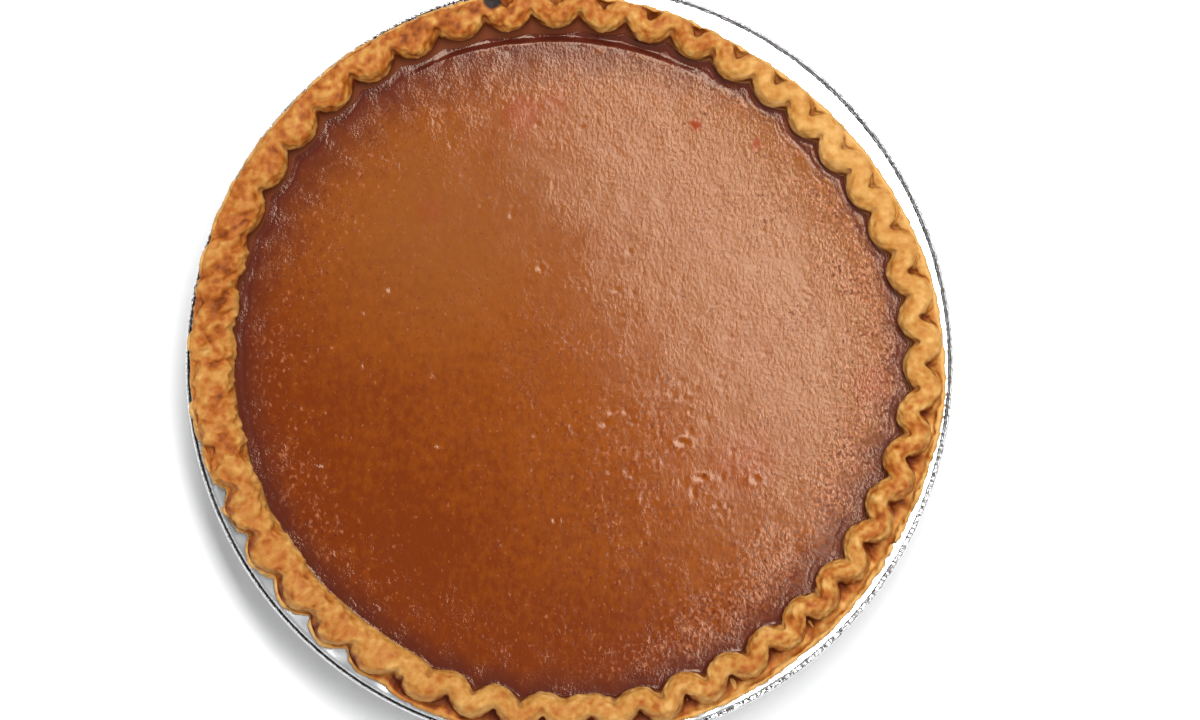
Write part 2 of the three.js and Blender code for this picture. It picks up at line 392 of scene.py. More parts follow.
@dataclass(frozen=True)
class RimPlan:
    """Where the winding band of pastry, the lip and the walls run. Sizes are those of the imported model."""

    flutes: int = 46
    first_flute: float = 6.2
    drift_mean: float = 0.6
    drift_swing: float = 0.75
    drift_towards: float = 300.0
    half_width: float = 4.0
    wind_depth: float = 2.3
    ridge_top: float = 40.0
    lobe_foot: float = 34.6
    lobe_radius: float = 104.4
    lip_radius: float = 119.4
    lip_rounding: float = 0.9
    lobe_swing: float = 0.45
    rim_limit: float = 121.7
    lobe_swells: Swells = Swells(
        (52, 24, -2.4), (128, 40, 4.2), (0, 11, 1.9), (276, 12, 1.1), (325, 28, -1.2),
    )
    lip_swells: Swells = Swells((54, 27, -5), (150, 42, 1.8), (356, 9, 1.2), (325, 22, -0.8))
    band_swells: Swells = Swells((176, 22, 1.5), (228, 24, 0.4))
    flat_spots: Swells = Swells((178, 19, -0.62), (272, 4, -0.45))

    def angle(self, count: Numbers) -> Numbers:
        """The angle of a place counted in flutes from the first one."""
        even = self.first_flute + 360 * count / self.flutes
        return even + self.drift_mean + self.drift_swing * np.cos(np.radians(even - self.drift_towards))

    def width(self, angle: Numbers) -> Numbers:
        """Half the band's width."""
        return self.half_width + self.band_swells.at(angle)

    def lobe_edge(self, angle: Numbers) -> Numbers:
        """The radius that the lobes reach inwards."""
        return self.lobe_radius + self.lobe_swells.at(angle) + 0.35 * unevenness(angle, 1.1)

    def middle(self, count: Numbers) -> Numbers:
        """The radius of the band's middle line: least at each whole flute, and most halfway between.

        Args:
            count: Places round the rim, in flutes.

        Returns:
            The radius at each place.
        """
        angle = self.angle(count)
        depth = self.wind_depth * (1 + self.flat_spots.at(angle)) * (1 + 0.14 * unevenness(angle, 2.3))
        return self.lobe_edge(angle) + self.width(angle) + depth * (1 - np.cos(math.tau * count))

    def lip_edge(self, angle: Numbers) -> Numbers:
        """The radius of the lip's outer edge."""
        radius = self.lip_radius + self.lip_swells.at(angle) + 0.3 * unevenness(angle, 5.3)
        return np.minimum(radius, self.rim_limit)

    def ridge_height(self, count: Numbers) -> Numbers:
        """The height of the band's crest.

        Args:
            count: Places round the rim, in flutes.

        Returns:
            The height at each place.
        """
        angle = self.angle(count)
        swing = self.lobe_swing * (1 + self.flat_spots.at(angle)) * np.cos(math.tau * count)
        return self.ridge_top + 0.8 * unevenness(angle, 3.1) + swing

    def sides(self, count: Numbers, distances: Numbers, side: int) -> Numbers:
        """Radii at which the band is some distance from its middle line. Hollow bends fold to a sharp crease.

        Args:
            count: Places round the rim, in flutes.
            distances: Distances for each place, one row for each, growing from 0.
            side: -1 for the inner side and 1 for the outer.

        Returns:
            The radii, one row for each place.
        """
        steps = 48
        reach = 3.6 * self.wind_depth + 1.3 * self.half_width
        samples = np.linspace(0, reach, 150)
        window = np.arange(-steps, steps + 1) / steps * 1.2
        radii = np.zeros_like(distances)
        for i, place in enumerate(count):
            near = place + window
            path = self.middle(near)
            turned = np.radians(self.angle(near) - self.angle(place))
            ray = self.middle(place) + side * samples
            gap = np.hypot(ray[:, None] - path * np.cos(turned), path * np.sin(turned)).min(axis=1)
            radii[i] = np.interp(distances[i], np.maximum.accumulate(gap), ray)
        return radii


PLAN = RimPlan()


# Finishes


@dataclass(frozen=True)
class BakedPastry:
    """Shortcrust pastry, crimped by hand and baked: a dry, finely pored surface that browns unevenly."""

    pale: str = "d5a35e"
    golden: str = "c08740"
    orange: str = "a85c1e"
    brown: str = "76370c"
    # Painted shade in the crust's hollows, notches, creases, crack and tears
    fold: str = "6c2a0a"
    # The inner wall's colour: custard-stained, and painted shade under the lobes
    stain_and_shade: str = "743a20"
    char: str = "2a211f"
    pore: float = 0.8
    speckle: float = 1.9
    roughness: float = 0.6

    def make(self) -> bpy.types.Material:
        """Builds the finish, which reads the crust's marks.

        Returns:
            The finish.
        """
        material, add, place, marks = new_material("baked_shortcrust_pastry", "bake_and_shade", "fold", "stain_and_shade", "char")
        flecks, pores = (
            add("TexNoise", {"Vector": place, "Scale": 1 / (size * MM), "Detail": detail, "Roughness": rough})
            for size, detail, rough in ((self.speckle, 3, 0.65), (self.pore, 4, 0.6))
        )
        # Small darker flecks, where the dough blistered, break up the browning
        flecked = add("Math", {0: flecks, 1: 0.55, 2: -0.275}, **SCALE_AND_ADD)
        baked = add("Math", {0: flecked, 1: marks["bake_and_shade"]}, operation="ADD", use_clamp=True)
        colour = add("ValToRGB", {"Fac": baked})
        stops = colour.node.color_ramp.elements
        stops[0].color, stops[1].color = linear(self.pale), linear(self.brown)
        for position, tint in ((0.3, self.golden), (0.66, self.orange)):
            stops.new(position).color = linear(tint)
        # Over the browning: custard-stained wall with painted shade, painted shade in recesses, and a burn
        for name, tint in (("stain_and_shade", self.stain_and_shade), ("fold", self.fold), ("char", self.char)):
            colour = add("Mix", {0: marks[name], MIX_A: colour, MIX_B: linear(tint)}, MIX_OUT, **MIX)
        relief = add("Bump", {"Height": pores, "Strength": 0.5, "Distance": 0.3 * MM})
        look = {"Base Color": colour, "Normal": relief, "Specular IOR Level": 0.2}
        return shade(material, {"Roughness": self.roughness, **look})


@dataclass(frozen=True)
class SetCustard:
    """Pumpkin custard with a baked skin: brown orange, darker and redder at its edge, with a moist sheen."""

    flesh: str = "884106"
    # A deeper tone for the custard's uneven depth, which also lays painted shade on its lower left
    deep: str = "702c05"
    edge: str = "542015"
    # Painted sheen: a paler, greyer tint on the side under the light
    painted_sheen_tint: str = "884e22"
    spot: str = "8e3016"
    # Painted glints: salmon flecks where the skin's grains catch the light
    painted_glint: str = "b06c4a"
    sheen: str = "ffe4cc"
    ripple: float = 0.9
    pore: float = 0.95
    curd: float = 2.4
    speck: float = 1.3
    cloud: float = 34.0

    def make(self) -> bpy.types.Material:
        """Builds the finish, which reads the custard's marks.

        Returns:
            The finish.
        """
        names = ("depth", "edge", "painted_sheen", "leather", "pores_and_glints", "spot")
        material, add, place, marks = new_material("baked_pumpkin_custard", *names)
        # The skin was drawn out one way as it shrank
        drawn = add("Mapping", {"Vector": place, "Scale": (1.0, 0.7, 1.0)})
        clouds, curds, specks, pits, wrinkles = (
            add("TexNoise", {"Vector": at, "Scale": 1 / (size * MM), "Detail": detail, "Roughness": rough})
            for at, size, detail, rough in (
                (place, self.cloud, 6, 0.65),
                (drawn, self.curd, 3, 0.65),
                (drawn, self.speck, 1, 0.5),
                (drawn, self.pore, 3, 0.6),
                (drawn, self.ripple, 2, 0.6),
            )
        )
        cloudy = add("Math", {0: clouds, 1: 1.6, 2: -1.9}, **SCALE_AND_ADD)
        curdled = add("Math", {0: curds, 1: 2.2, 2: cloudy}, **SCALE_AND_ADD)
        deepness = add("Math", {0: curdled, 1: marks["depth"]}, operation="ADD", use_clamp=True)
        # Painted glints fleck the skin where it is gritty, and its pores darken it
        specked = add("Math", {0: marks["pores_and_glints"], 1: 0.3, 2: specks}, **SCALE_AND_ADD)
        gritty = add("Math", {0: marks["pores_and_glints"], 1: 0.17, 2: pits}, **SCALE_AND_ADD)
        # Each is a value, the range that it is read over and the range that it is turned to
        flecks, pores, smooth, under_light, torn = (
            add("MapRange", dict(enumerate(each)))
            for each in (
                (specked, 0.7, 0.88, 0.0, 0.7),
                (gritty, 0.63, 0.76, 0.0, 0.75),
                (marks["leather"], 0.0, 1.0, 0.12, 0.18),
                (marks["painted_sheen"], 0.45, 0.9, 0.0, 1.0),
                (marks["spot"], 0.35, 0.9, 0.0, 1.0),
            )
        )
        colour = linear(self.flesh)
        # Over the flesh: a deeper tone with painted shade, painted sheen, painted glints, pores, edge and
        # spots
        for share, tint in (
            (deepness, self.deep),
            (marks["painted_sheen"], self.painted_sheen_tint),
            (flecks, self.painted_glint),
            (pores, self.edge),
            (marks["edge"], self.edge),
            (marks["spot"], self.spot),
        ):
            colour = add("Mix", {0: share, MIX_A: colour, MIX_B: linear(tint)}, MIX_OUT, **MIX)
        # It is smooth in the middle and finely wrinkled where it dried, and dull in the pores under the light
        height = add("Math", {0: wrinkles, 1: marks["leather"]}, operation="MULTIPLY")
        matt = add("Math", {0: pores, 1: torn}, operation="MAXIMUM")
        dull = add("Math", {0: matt, 1: under_light}, operation="MULTIPLY")
        inputs = {
            "Base Color": colour,
            "Normal": add("Bump", {"Height": height, "Strength": 1.0, "Distance": 0.42 * MM}),
            "Roughness": add("Math", {0: dull, 1: 0.9, 2: smooth}, **SCALE_AND_ADD),
            "Specular IOR Level": 0.34,
            "Specular Tint": linear(self.sheen),
        }
        return shade(material, inputs)


@dataclass(frozen=True)
class RolledFoil:
    """Soft aluminium foil, rolled bright and stamped: a mirror that rolling lines and crinkles break up."""

    metal: str = "e6e7e8"
    groove_shade: str = "504e4e"
    groove_dark: str = "1c1b1b"
    line: float = 0.7
    crinkle: float = 6.0
    sway: float = 3.0
    chop: float = 1.1
    edge_folds: int = 300
    groove_middle: float = 121.2
    groove_width: float = 0.34
    shaded: float = 235.0
    crinkled: float = 316.0
    fold_from: float = 120.1
    fold_to: float = 120.9
    roughness: float = 0.2

    def make(self) -> bpy.types.Material:
        """Builds the finish.

        Returns:
            The finish.
        """
        material, add, place, _ = new_material("stamped_aluminium_foil")
        along = add("Mapping", {"Vector": place, "Scale": (0.06, 1.0, 1.0)})
        lines, wander, chopped = (
            add("TexNoise", {"Vector": vector, "Scale": 1 / (size * MM), "Detail": detail})
            for vector, size, detail in ((along, self.line, 2), (place, self.sway, 2), (place, self.chop, 1))
        )
        inputs = {"Vector": place, "Scale": 1 / (self.crinkle * MM)}
        dents = add("TexVoronoi", inputs, "Distance", feature="SMOOTH_F1")
        flat = add("VectorMath", {0: place, 1: (1, 1, 0)}, operation="MULTIPLY")
        length = add("VectorMath", {0: flat}, "Value", operation="LENGTH")
        outwards = add("VectorMath", {0: flat}, operation="NORMALIZE")
        # The curled edge is gathered into hundreds of little folds across it
        across = add("SeparateXYZ", {0: place}).node.outputs
        angle = add("Math", {0: across["Y"], 1: across["X"]}, operation="ARCTAN2")
        phase = add("Math", {0: angle, 1: float(self.edge_folds)}, operation="MULTIPLY")
        jitter = add("Math", {0: wander, 1: 22.0, 2: phase}, **SCALE_AND_ADD)
        wave = add("Math", {0: jitter}, operation="SINE")
        inputs = {"Value": length, "From Min": self.fold_from * MM, "From Max": self.fold_to * MM}
        at_edge = add("MapRange", inputs)
        folds = add("Math", {0: wave, 1: at_edge}, operation="MULTIPLY")
        relief = {}
        for height, strength, depth in ((dents, 0.3, 0.3), (lines, 0.25, 0.03), (folds, 0.6, 0.12)):
            inputs = {"Height": height, "Strength": strength, "Distance": depth * MM, **relief}
            relief = {"Normal": add("Bump", inputs)}
        # Little light comes out of the groove between the flange and the curl, least of all on the
        # shaded side, and crinkles break the groove up on another
        sides = []
        for way, low in ((self.shaded, 0.35), (self.crinkled, 0.8)):
            facing = add("VectorMath", {0: outwards, 1: bearing(way)}, "Value", operation="DOT_PRODUCT")
            sides.append(add("MapRange", {"Value": facing, "From Min": low, "From Max": 0.95}))
        shaded, crinkled = sides
        away = add("Math", {0: length, 1: self.groove_middle * MM}, operation="SUBTRACT")
        away = add("Math", {0: away}, operation="ABSOLUTE")
        half = self.groove_width * MM
        reach = add("Math", {0: shaded, 1: 0.8 * half, 2: half}, **SCALE_AND_ADD)
        inputs = {"Value": away, "From Min": 0.5 * half, "From Max": reach, "To Min": 1.0, "To Max": 0.0}
        groove = add("MapRange", inputs)
        breaks = add("MapRange", {"Value": chopped, "From Min": 0.4, "From Max": 0.5, "To Max": -0.9})
        kept = add("Math", {0: breaks, 1: crinkled, 2: 1.0}, **SCALE_AND_ADD)
        groove = add("Math", {0: groove, 1: kept}, operation="MULTIPLY")
        inputs = {0: shaded, MIX_A: linear(self.groove_shade), MIX_B: linear(self.groove_dark)}
        dark = add("Mix", inputs, MIX_OUT, **MIX)
        colour = add("Mix", {0: groove, MIX_A: linear(self.metal), MIX_B: dark}, MIX_OUT, **MIX)
        look = {"Base Color": colour, "Metallic": 1.0, "Roughness": self.roughness}
        return shade(material, look | relief)


# The pie's pieces


@dataclass
class FoilTin:
    """The disposable foil tin: a stamped base, a pleated wall, a flat flange and an edge curled under.

    The mouth and the hem are outlines. Their points give a distance outwards from the mouth or inwards
    from the rim, and how far below the flange they lie.
    """

    rim_radius: float = 122.0
    depth: float = 30.0
    foil: float = 0.6
    base_radius: float = 95.0
    mouth_radius: float = 111.0
    corner_radius: float = 3.0
    bead_radius: float = 1.2
    mouth: Pairs = ((-0.2, 1.1), (0.4, 0.35), (1.2, 0.0))
    hem: Pairs = (
        (2.0, 0.0), (1.45, 0.05), (1.2, 0.3), (1.05, 0.5), (0.85, 0.52), (0.7, 0.36), (0.54, 0.05),
        (0.46, 0.0), (0.38, 0.03), (0.18, 0.2), (-0.02, 0.42), (-0.12, 0.66), (-0.12, 1.0),
    )
    pleats: int = 56
    pleat_depth: float = 0.45
    pleat_depth_at_foot: float = 0.15
    groove_inner: float = 60.0
    groove_outer: float = 65.0
    groove_slope: float = 1.2
    groove_rise: float = 0.8
    dent_size: float = 14.0
    crease_size: float = 3.2
    crease_round: float = 72.0
    wall_lines: int = 8
    flange_lines: int = 6
    sector_steps: int = 21
    doublings: int = 6
    finish: RolledFoil = field(default_factory=RolledFoil)

    def wall_radius(self, z: Numbers) -> Numbers:
        """The radius of the wall's inner face at a height."""
        share = np.clip((z - self.foil) / (self.depth - self.foil), 0, 1)
        return blend(self.base_radius, self.mouth_radius, share)

    def face(self, foil: float) -> Profile:
        """One face of the foil from the middle of the base to the flange.

        Args:
            foil: The foil's thickness for the upper face, or 0 for the lower one.

        Returns:
            Radius and height of each point.
        """
        inner, outer, slope = self.groove_inner, self.groove_outer, self.groove_slope
        ups = ((inner - slope, 0), (inner - slope / 2, 0.5), (inner, 1))
        downs = ((outer, 1), (outer + slope / 2, 0.5), (outer + slope, 0))
        base = [(r, foil + share * self.groove_rise) for r, share in ups + downs]
        corner = [
            (self.base_radius - 1.6 * self.corner_radius, foil),
            (self.base_radius - self.corner_radius, foil + 0.02),
        ]
        out = self.foil - foil
        heights = np.linspace(self.corner_radius / 3, self.depth - 2.5, self.wall_lines)
        wall = [(float(self.wall_radius(self.foil + z)) + out, foil + float(z)) for z in heights]
        mouth = [
            (self.mouth_radius + away + out * (1 if drop else 0.5), self.depth - drop - out)
            for away, drop in self.mouth
        ]
        ends = self.mouth_radius + 2.4, self.rim_radius - 2 * self.bead_radius - 0.3
        flange = [(float(r), self.depth - out) for r in np.linspace(*ends, self.flange_lines)]
        return base + corner + wall + mouth + flange

    def profile(self) -> Profile:
        """The tin's whole section, from the axis inside it round the curled edge and back under the base.

        Returns:
            Radius and height of each point.
        """
        hem = [(self.rim_radius - inset, self.depth - drop) for inset, drop in self.hem]
        bead = self.bead_radius
        roll = [
            (self.rim_radius - bead * (1 - math.cos(a)), self.depth - bead * (1 - math.sin(a)))
            for a in map(math.radians, range(-10, -210, -20))
        ]
        return [(0, self.foil), *self.face(self.foil), *hem, *roll, *reversed(self.face(0)), (0, 0)]

    def shape(self, points: Numbers) -> Numbers:
        """Presses the pleats into the wall and works small dents of handling into the flange and the edge.

        Args:
            points: The plain tin's points in mm.

        Returns:
            The shaped tin's points in mm.
        """
        radius, angle = polar(points)
        turned, z = np.radians(angle), points[:, 2]
        up = between(z, self.corner_radius / 2, 6, self.depth - 2.2, self.depth - 0.3)
        on_wall = up * (radius > self.base_radius - 2) * (radius < self.mouth_radius + 2)
        wave = np.sin(turned * self.pleats)
        depth = blend(self.pleat_depth_at_foot, self.pleat_depth, z / self.depth)
        pleat = depth * np.sign(wave) * np.abs(wave) ** 0.6
        dents = Grain(11)
        # The creases' noise lies on a narrower round than the rim, which draws them out along it
        rim = np.stack([self.crease_round * np.cos(turned), self.crease_round * np.sin(turned), radius], 1)
        crease = dents.at(rim, self.crease_size) * rise(self.mouth_radius, self.mouth_radius + 3, radius)
        upper = z > self.depth - 4
        low = 0.1 * dents.layered(points, self.dent_size, 2) + 0.1 * crease - 0.12
        bent = z + low * upper * rise(self.mouth_radius, self.mouth_radius + 2, radius)
        scale = (radius + on_wall * pleat) / np.maximum(radius, 1e-6)
        level = np.minimum(bent, np.where(upper, self.depth, z))
        return np.stack([points[:, 0] * scale, points[:, 1] * scale, level], 1)

    def build(self) -> None:
        """Models the tin and dresses it."""
        tin = lathe("foil_tin_stamped", self.profile(), self.sector_steps, self.doublings)
        move_points(tin, self.shape(points_of(tin)))
        finish_piece(tin, "foil_tin", self.finish.make())


@dataclass(frozen=True)
class Dent:
    """A dip, or with a positive lift a lump, that hands left in the dough, at a place in the picture."""

    x: float
    y: float
    half_length: float
    half_width: float
    turned: float
    lift: float

    def depth(self, points: Numbers) -> Numbers:
        """How far the dent lifts each point.

        Args:
            points: Points in mm.

        Returns:
            The lifts in mm.
        """
        x, y = PHOTO.place(self.x, self.y)
        way = np.array(bearing(self.turned))
        length = (points - (x, y, 0)) @ way / self.half_length
        width = (points - (x, y, 0)) @ (-way[1], way[0], 0) / self.half_width
        return self.lift * np.exp(-(length**2) - width**2)


@dataclass
class PastryCrust:
    """The crust: a shell in the tin, a lip on its flange, and the crimped band that winds along the rim."""

    plan: RimPlan = PLAN
    steps_per_flute: int = 32
    sector_steps: int = 23
    doublings: int = 6
    roundness: float = 2.1
    shell_floor: float = 5.7
    shell_under: float = 1.7
    shell_side: float = 5.25
    slope_top: float = 27.5
    wall_top: float = 31.8
    flange_top: float = 30.3
    notch_share: float = 0.62
    undercut: float = 0.5
    band_radius: float = 112.0
    lump_sizes: tuple[float, float] = (4.4, 2.0)
    facet_sizes: tuple[float, float] = (5.6, 2.3)
    facet_stretch: float = 1.7
    tear_size: float = 6.5
    tear_gaps: float = 9.0
    tear_stretch: float = 2.6
    flake_size: float = 4.2
    patch_size: float = 16.0
    spot_sizes: tuple[float, float] = (3.4, 1.6)
    rim_widths: Course = Course((10, 1.1), (45, 1.1), (65, 1.2), (200, 1.2), (300, 1.4), (345, 1.4))
    rim_heights: Course = Course(
        (0, 37.0), (30, 37.8), (75, 37.6), (120, 37.6), (175, 37.6), (205, 36.0), (222, 32.2), (285, 32.2),
        (312, 34.6), (340, 35.0),
    )
    pit_depths: Course = Course(
        (5, 1.3), (38, 1.4), (60, 2.6), (88, 2.6), (104, 0.5), (205, 0.3), (225, 0.6), (285, 0.8),
        (305, 3), (342, 3),
    )
    pit_reach: Course = Course(
        (5, 0), (42, 0), (60, 0.7), (90, 0.7), (108, 0), (200, 0), (285, 1), (345, 1),
    )
    cut_back: Course = Course((192, 0), (201, 0.9), (234, 0.9), (246, 0))
    notch_closing: Course = Course(
        (150, 0), (172, 0.5), (205, 0.8), (216, 1), (240, 1), (252, 0), (262, 0), (272, 0.7), (282, 0.1),
    )
    slimming: Course = Course(
        (0, 0.1), (25, 0.35), (50, 0.35), (66, 0.9), (92, 0.9), (104, 0), (290, 0), (310, 0.2),
    )
    leaning: Course = Course((0, 0), (192, 0), (202, 0.25), (236, 0.25), (250, 0))
    pressing: Course = Course((100, 0), (116, 0.75), (148, 0.9), (160, 1), (190, 1), (203, 0))
    crushing: Course = Course((146, 0), (164, 1), (192, 1), (206, 0.7), (222, 0.5), (238, 0))
    outer_creases: Course = Course(
        (0, 1.8), (60, 1.6), (98, 1.2), (112, 0.05), (210, 0.05), (240, 0.8), (290, 1), (320, 2),
    )
    inner_creases: Course = Course(
        (0, 1.6), (70, 1.8), (100, 3), (150, 3.6), (180, 0.8), (205, 0.3), (250, 1.2), (290, 2.2),
        (330, 1.8),
    )
    crease_depth: float = 1.0
    crease_width: float = 0.05
    blister_angle: float = 102.0
    blister_radius: float = 117.5
    blister_size: float = 3.1
    browning: Course = Course(
        (0, 0.3), (45, 0.16), (75, 0.4), (105, 0.54), (150, 0.5), (185, 0.4), (212, 0.36), (240, 0.34),
        (275, 0.3), (320, 0.38), (345, 0.42),
    )
    # How strongly painted shade darkens the outer hollows at each angle
    hollow_shade: Course = Course(
        (0, 0.35), (40, 0.15), (66, 0.55), (85, 0.6), (104, 0.3), (118, 0), (196, 0), (208, 0.7),
        (245, 0.95), (285, 0.9), (305, 0.85), (342, 0.85),
    )
    # Painted shade on the lip, on the side away from the light
    lip_shade: Course = Course((0, 0), (228, 0), (240, 0.4), (280, 0.35), (300, 0))
    # How much of the inner wall is custard-stained and darkened by painted shade
    stain_and_shading: Course = Course((20, 0.3), (55, 0.3), (80, 1), (300, 1), (340, 0.5))
    rim_crack: float = 330.4
    crack_width: float = 0.55
    mottling: Course = Course(
        (0, 0.8), (45, 0.6), (80, 1.2), (110, 1.3), (190, 0.9), (225, 1.1), (245, 0.6), (290, 1.1),
        (325, 1.5), (350, 1.3),
    )
    dents: tuple[Dent, ...] = (
        Dent(237, 229, 5.0, 0.6, 29, -0.8), Dent(247, 224, 2.5, 0.6, -12, -0.6),
        Dent(232, 240, 3.2, 0.6, 18, -0.6), Dent(223, 251, 2.6, 1.5, 80, 0.6),
        Dent(224, 251, 1.0, 0.7, 80, -0.5), Dent(231, 273, 3.4, 2.0, 10, -0.8),
        Dent(222, 306, 4.0, 2.2, 60, -0.7), Dent(210, 341, 4.1, 0.55, -53, -0.8),
        Dent(210, 355, 1.7, 1.5, 0, 0.9), Dent(211, 356, 0.7, 0.6, 0, -0.5),
        Dent(213, 366, 2.4, 1.4, 0, -0.9), Dent(221, 398, 2.8, 1.5, 70, -0.8),
        Dent(206, 423, 2.8, 0.6, -15, -0.7), Dent(203, 379, 3.6, 1.0, 25, 0.5),
        Dent(228, 446, 2.4, 1.2, -40, -0.6), Dent(214, 452, 2.6, 0.6, -60, -0.6),
    )
    finish: BakedPastry = field(default_factory=BakedPastry)
    tin: FoilTin = field(default_factory=FoilTin)

    def stations(self) -> int:
        """The number of steps round the rim."""
        return self.plan.flutes * self.steps_per_flute

    def places(self) -> Numbers:
        """The places of the steps round the rim, in flutes."""
        return np.arange(self.stations()) / self.steps_per_flute

    def neck(self, count: Numbers, inner_foot: Numbers) -> Numbers:
        """The radius of the inner wall's top: custard has crept into the notches and under the lobes."""
        edge = self.plan.lobe_edge(self.plan.angle(count))
        return edge + self.notch_share * np.maximum(inner_foot - edge, 0) + self.undercut

    def band_sides(self, count: Numbers) -> tuple[Numbers, Numbers, Numbers, Numbers]:
        """Works out the band's rounded sides.

        Args:
            count: Places round the rim, in flutes.

        Returns:
            Radii of the inner side and of the outer side, one row for each place, from the crest to the
            foot, and for each column its share of half the width and of the height.
        """
        plan = self.plan
        angle = plan.angle(count)
        width = plan.width(angle)[:, None]
        arc = np.radians(np.linspace(0, 90, 17))
        shares, heights = np.sin(arc) ** (2 / self.roundness), np.cos(arc) ** (2 / self.roundness)
        inner, outer = (plan.sides(count, width * shares, side) for side in (-1, 1))
        straight = plan.lobe_edge(angle)[:, None] + (1 - shares) * width
        inner = blend(inner, np.minimum(inner, straight), self.notch_closing.at(angle)[:, None])
        # Where the band was pressed down, its outer side runs out evenly to the lip
        middle = plan.middle(count)[:, None]
        spread = middle + (plan.lip_edge(angle)[:, None] - plan.lip_rounding - middle) * shares
        outer = blend(outer, np.maximum(outer, spread), self.pressing.at(angle)[:, None])
        outer = outer - self.slimming.at(angle)[:, None] * shares
        # Some flutes lean along the rim like breaking waves
        lean = self.leaning.at(angle)
        for i, share in enumerate(shares):
            outer[:, i] = np.interp(count + lean * share, count, outer[:, i], period=plan.flutes)
        return inner, outer, shares, heights

    def section(self, count: Numbers) -> tuple[Numbers, Numbers, Numbers]:
        """Lays out the crust's section at each place round the rim.

        Args:
            count: Places round the rim, in flutes.

        Returns:
            Radii, heights and a number for each line that says where it is: below 1 on the inner wall, 1 to
            2 up the band's inner side, 2 to 3 down its outer side, 3 to 4 on the lip, and more underneath.
        """
        plan, tin = self.plan, self.tin
        angle = plan.angle(count)
        top, rim = plan.ridge_height(count), self.rim_heights.at(angle) + 0.3 * unevenness(angle, 4.2)
        inner, outer, shares, heights = self.band_sides(count)
        inner_foot, outer_foot = inner[:, -1], outer[:, -1]
        last = len(shares) - 1
        neck = self.neck(count, inner_foot)
        floor = self.shell_floor
        lines = [(0, floor, 0), (self.cone(floor) - 4, floor, 0), (self.cone(floor + 2), floor + 2, 0)]
        for share in np.linspace(0, 1, 5):
            radius = blend(self.cone(self.slope_top), neck, share)
            lines.append((radius, blend(self.slope_top, self.wall_top, share), 0.8 * share))
        for share in (0.25, 0.5, 0.75):
            height = blend(self.wall_top, plan.lobe_foot, share)
            lines.append((blend(neck, inner_foot, share), height, 0.8 + 0.2 * share))
        for i in range(last, -1, -1):
            lines.append((inner[:, i], blend(plan.lobe_foot, top, heights[i]), 2 - i / last))
        # The outer side: down to the hollows, or to the foil where the lip stops short
        short = np.minimum(plan.lip_edge(angle), outer_foot + plan.lip_rounding + 0.25)
        room = blend(plan.lip_edge(angle), short, self.cut_back.at(angle)) - plan.lip_rounding
        foot = rim - self.pit_depths.at(angle) * rise(0.3, 2.2, np.maximum(room - outer_foot, 0))
        for i in range(1, last + 1):
            radius = np.minimum(outer[:, i], room - 0.3 * (1 - shares[i]) - 0.02 * (last - i))
            lines.append((radius, blend(foot, top, heights[i]), 2 + i / last))
        run = room - radius
        width = np.minimum(self.rim_widths.at(angle), 0.8 * run) + 0.05
        start = self.pit_reach.at(angle) * (run - width)
        for share in (0.07, 0.16, 0.27, 0.4, 0.54, 0.68, 0.8, 0.9, 1.0):
            height = blend(foot, rim, rise(0, 1, (share * run - start) / width))
            lines.append((radius + share * run, height, 3 + 0.8 * share))
        for turned in np.radians(np.linspace(0, 180, 8)[1:]):
            height = blend(self.flange_top, rim, (1 + np.cos(turned)) / 2)
            lines.append((room + plan.lip_rounding * np.sin(turned) ** 0.7, height, 3.8 + turned / 20))
        under = self.shell_under
        lines += [
            (tin.mouth_radius + 0.9, self.flange_top, 5),
            (tin.wall_radius(tin.depth - 1) - 0.85, tin.depth - 0.6, 5),
            (tin.wall_radius(under + 2) - 0.75, under + 2, 5),
            (tin.base_radius - 4, under, 5),
            (0, under, 5),
        ]
        radii, levels = (np.stack([each[i] + 0 * angle for each in lines], 1) for i in (0, 1))
        return radii, levels, np.array([each[2] for each in lines])

    def cone(self, height: float) -> float:
        """The radius of the shell's inner face low in the tin."""
        return float(self.tin.wall_radius(height)) - self.shell_side

    def normals(self, points: Numbers) -> Numbers:
        """The outward directions of the laid out surface, from its neighbours on the grid."""
        normal = np.cross(np.gradient(points, axis=1), np.roll(points, -1, 0) - np.roll(points, 1, 0))
        return normal / np.maximum(np.linalg.norm(normal, axis=2, keepdims=True), 1e-9)

    def slanted(self, points: Numbers, stretch: float) -> Numbers:
        """Coordinates for noise that is drawn out at a slant to the rim.

        Args:
            points: Points in mm.
            stretch: How many times longer than wide its lumps become.

        Returns:
            The coordinates.
        """
        radius, angle = polar(points)
        along = np.radians(angle) * self.band_radius
        return np.stack([(along + radius) / stretch, along - radius, 0.4 * points[..., 2]], -1)

    def facets(self, points: Numbers) -> Numbers:
        """Flat tops with soft dips between them, as fingers leave in dough.

        Args:
            points: The laid out points in mm.

        Returns:
            The form at each point, between about -0.8 and 0.3.
        """
        lumps, slant, (broad, fine) = Grain(3), self.slanted(points, self.facet_stretch), self.facet_sizes
        heights = lumps.at(slant + 40, broad) + 0.4 * lumps.at(slant + 80, fine)
        return np.minimum(heights, 0.3 + 0.2 * (heights - 0.3)) - 0.1

    def slits(self, points: Numbers) -> tuple[Numbers, Numbers]:
        """Tears and pits where the pastry was crushed and flaked, as depths from 0 to 1.

        Args:
            points: The laid out points in mm.

        Returns:
            The tears and the pits.
        """
        grain, slant = Grain(7), self.slanted(points, self.tear_stretch)
        gate = rise(-0.05, 0.25, grain.at(slant + 50, self.tear_gaps))
        tears = np.clip(1 - np.abs(grain.at(slant, self.tear_size)) / 0.1, 0, 1) * gate
        return tears, rise(0.15, 0.55, grain.layered(points + 90, self.flake_size, 2))

    def lumps(self, points: Numbers) -> tuple[Numbers, Numbers]:
        """The dough's broad and fine lumps, between about -1 and 1."""
        return tuple(Grain(3).layered(points, size, 2) for size in self.lump_sizes)

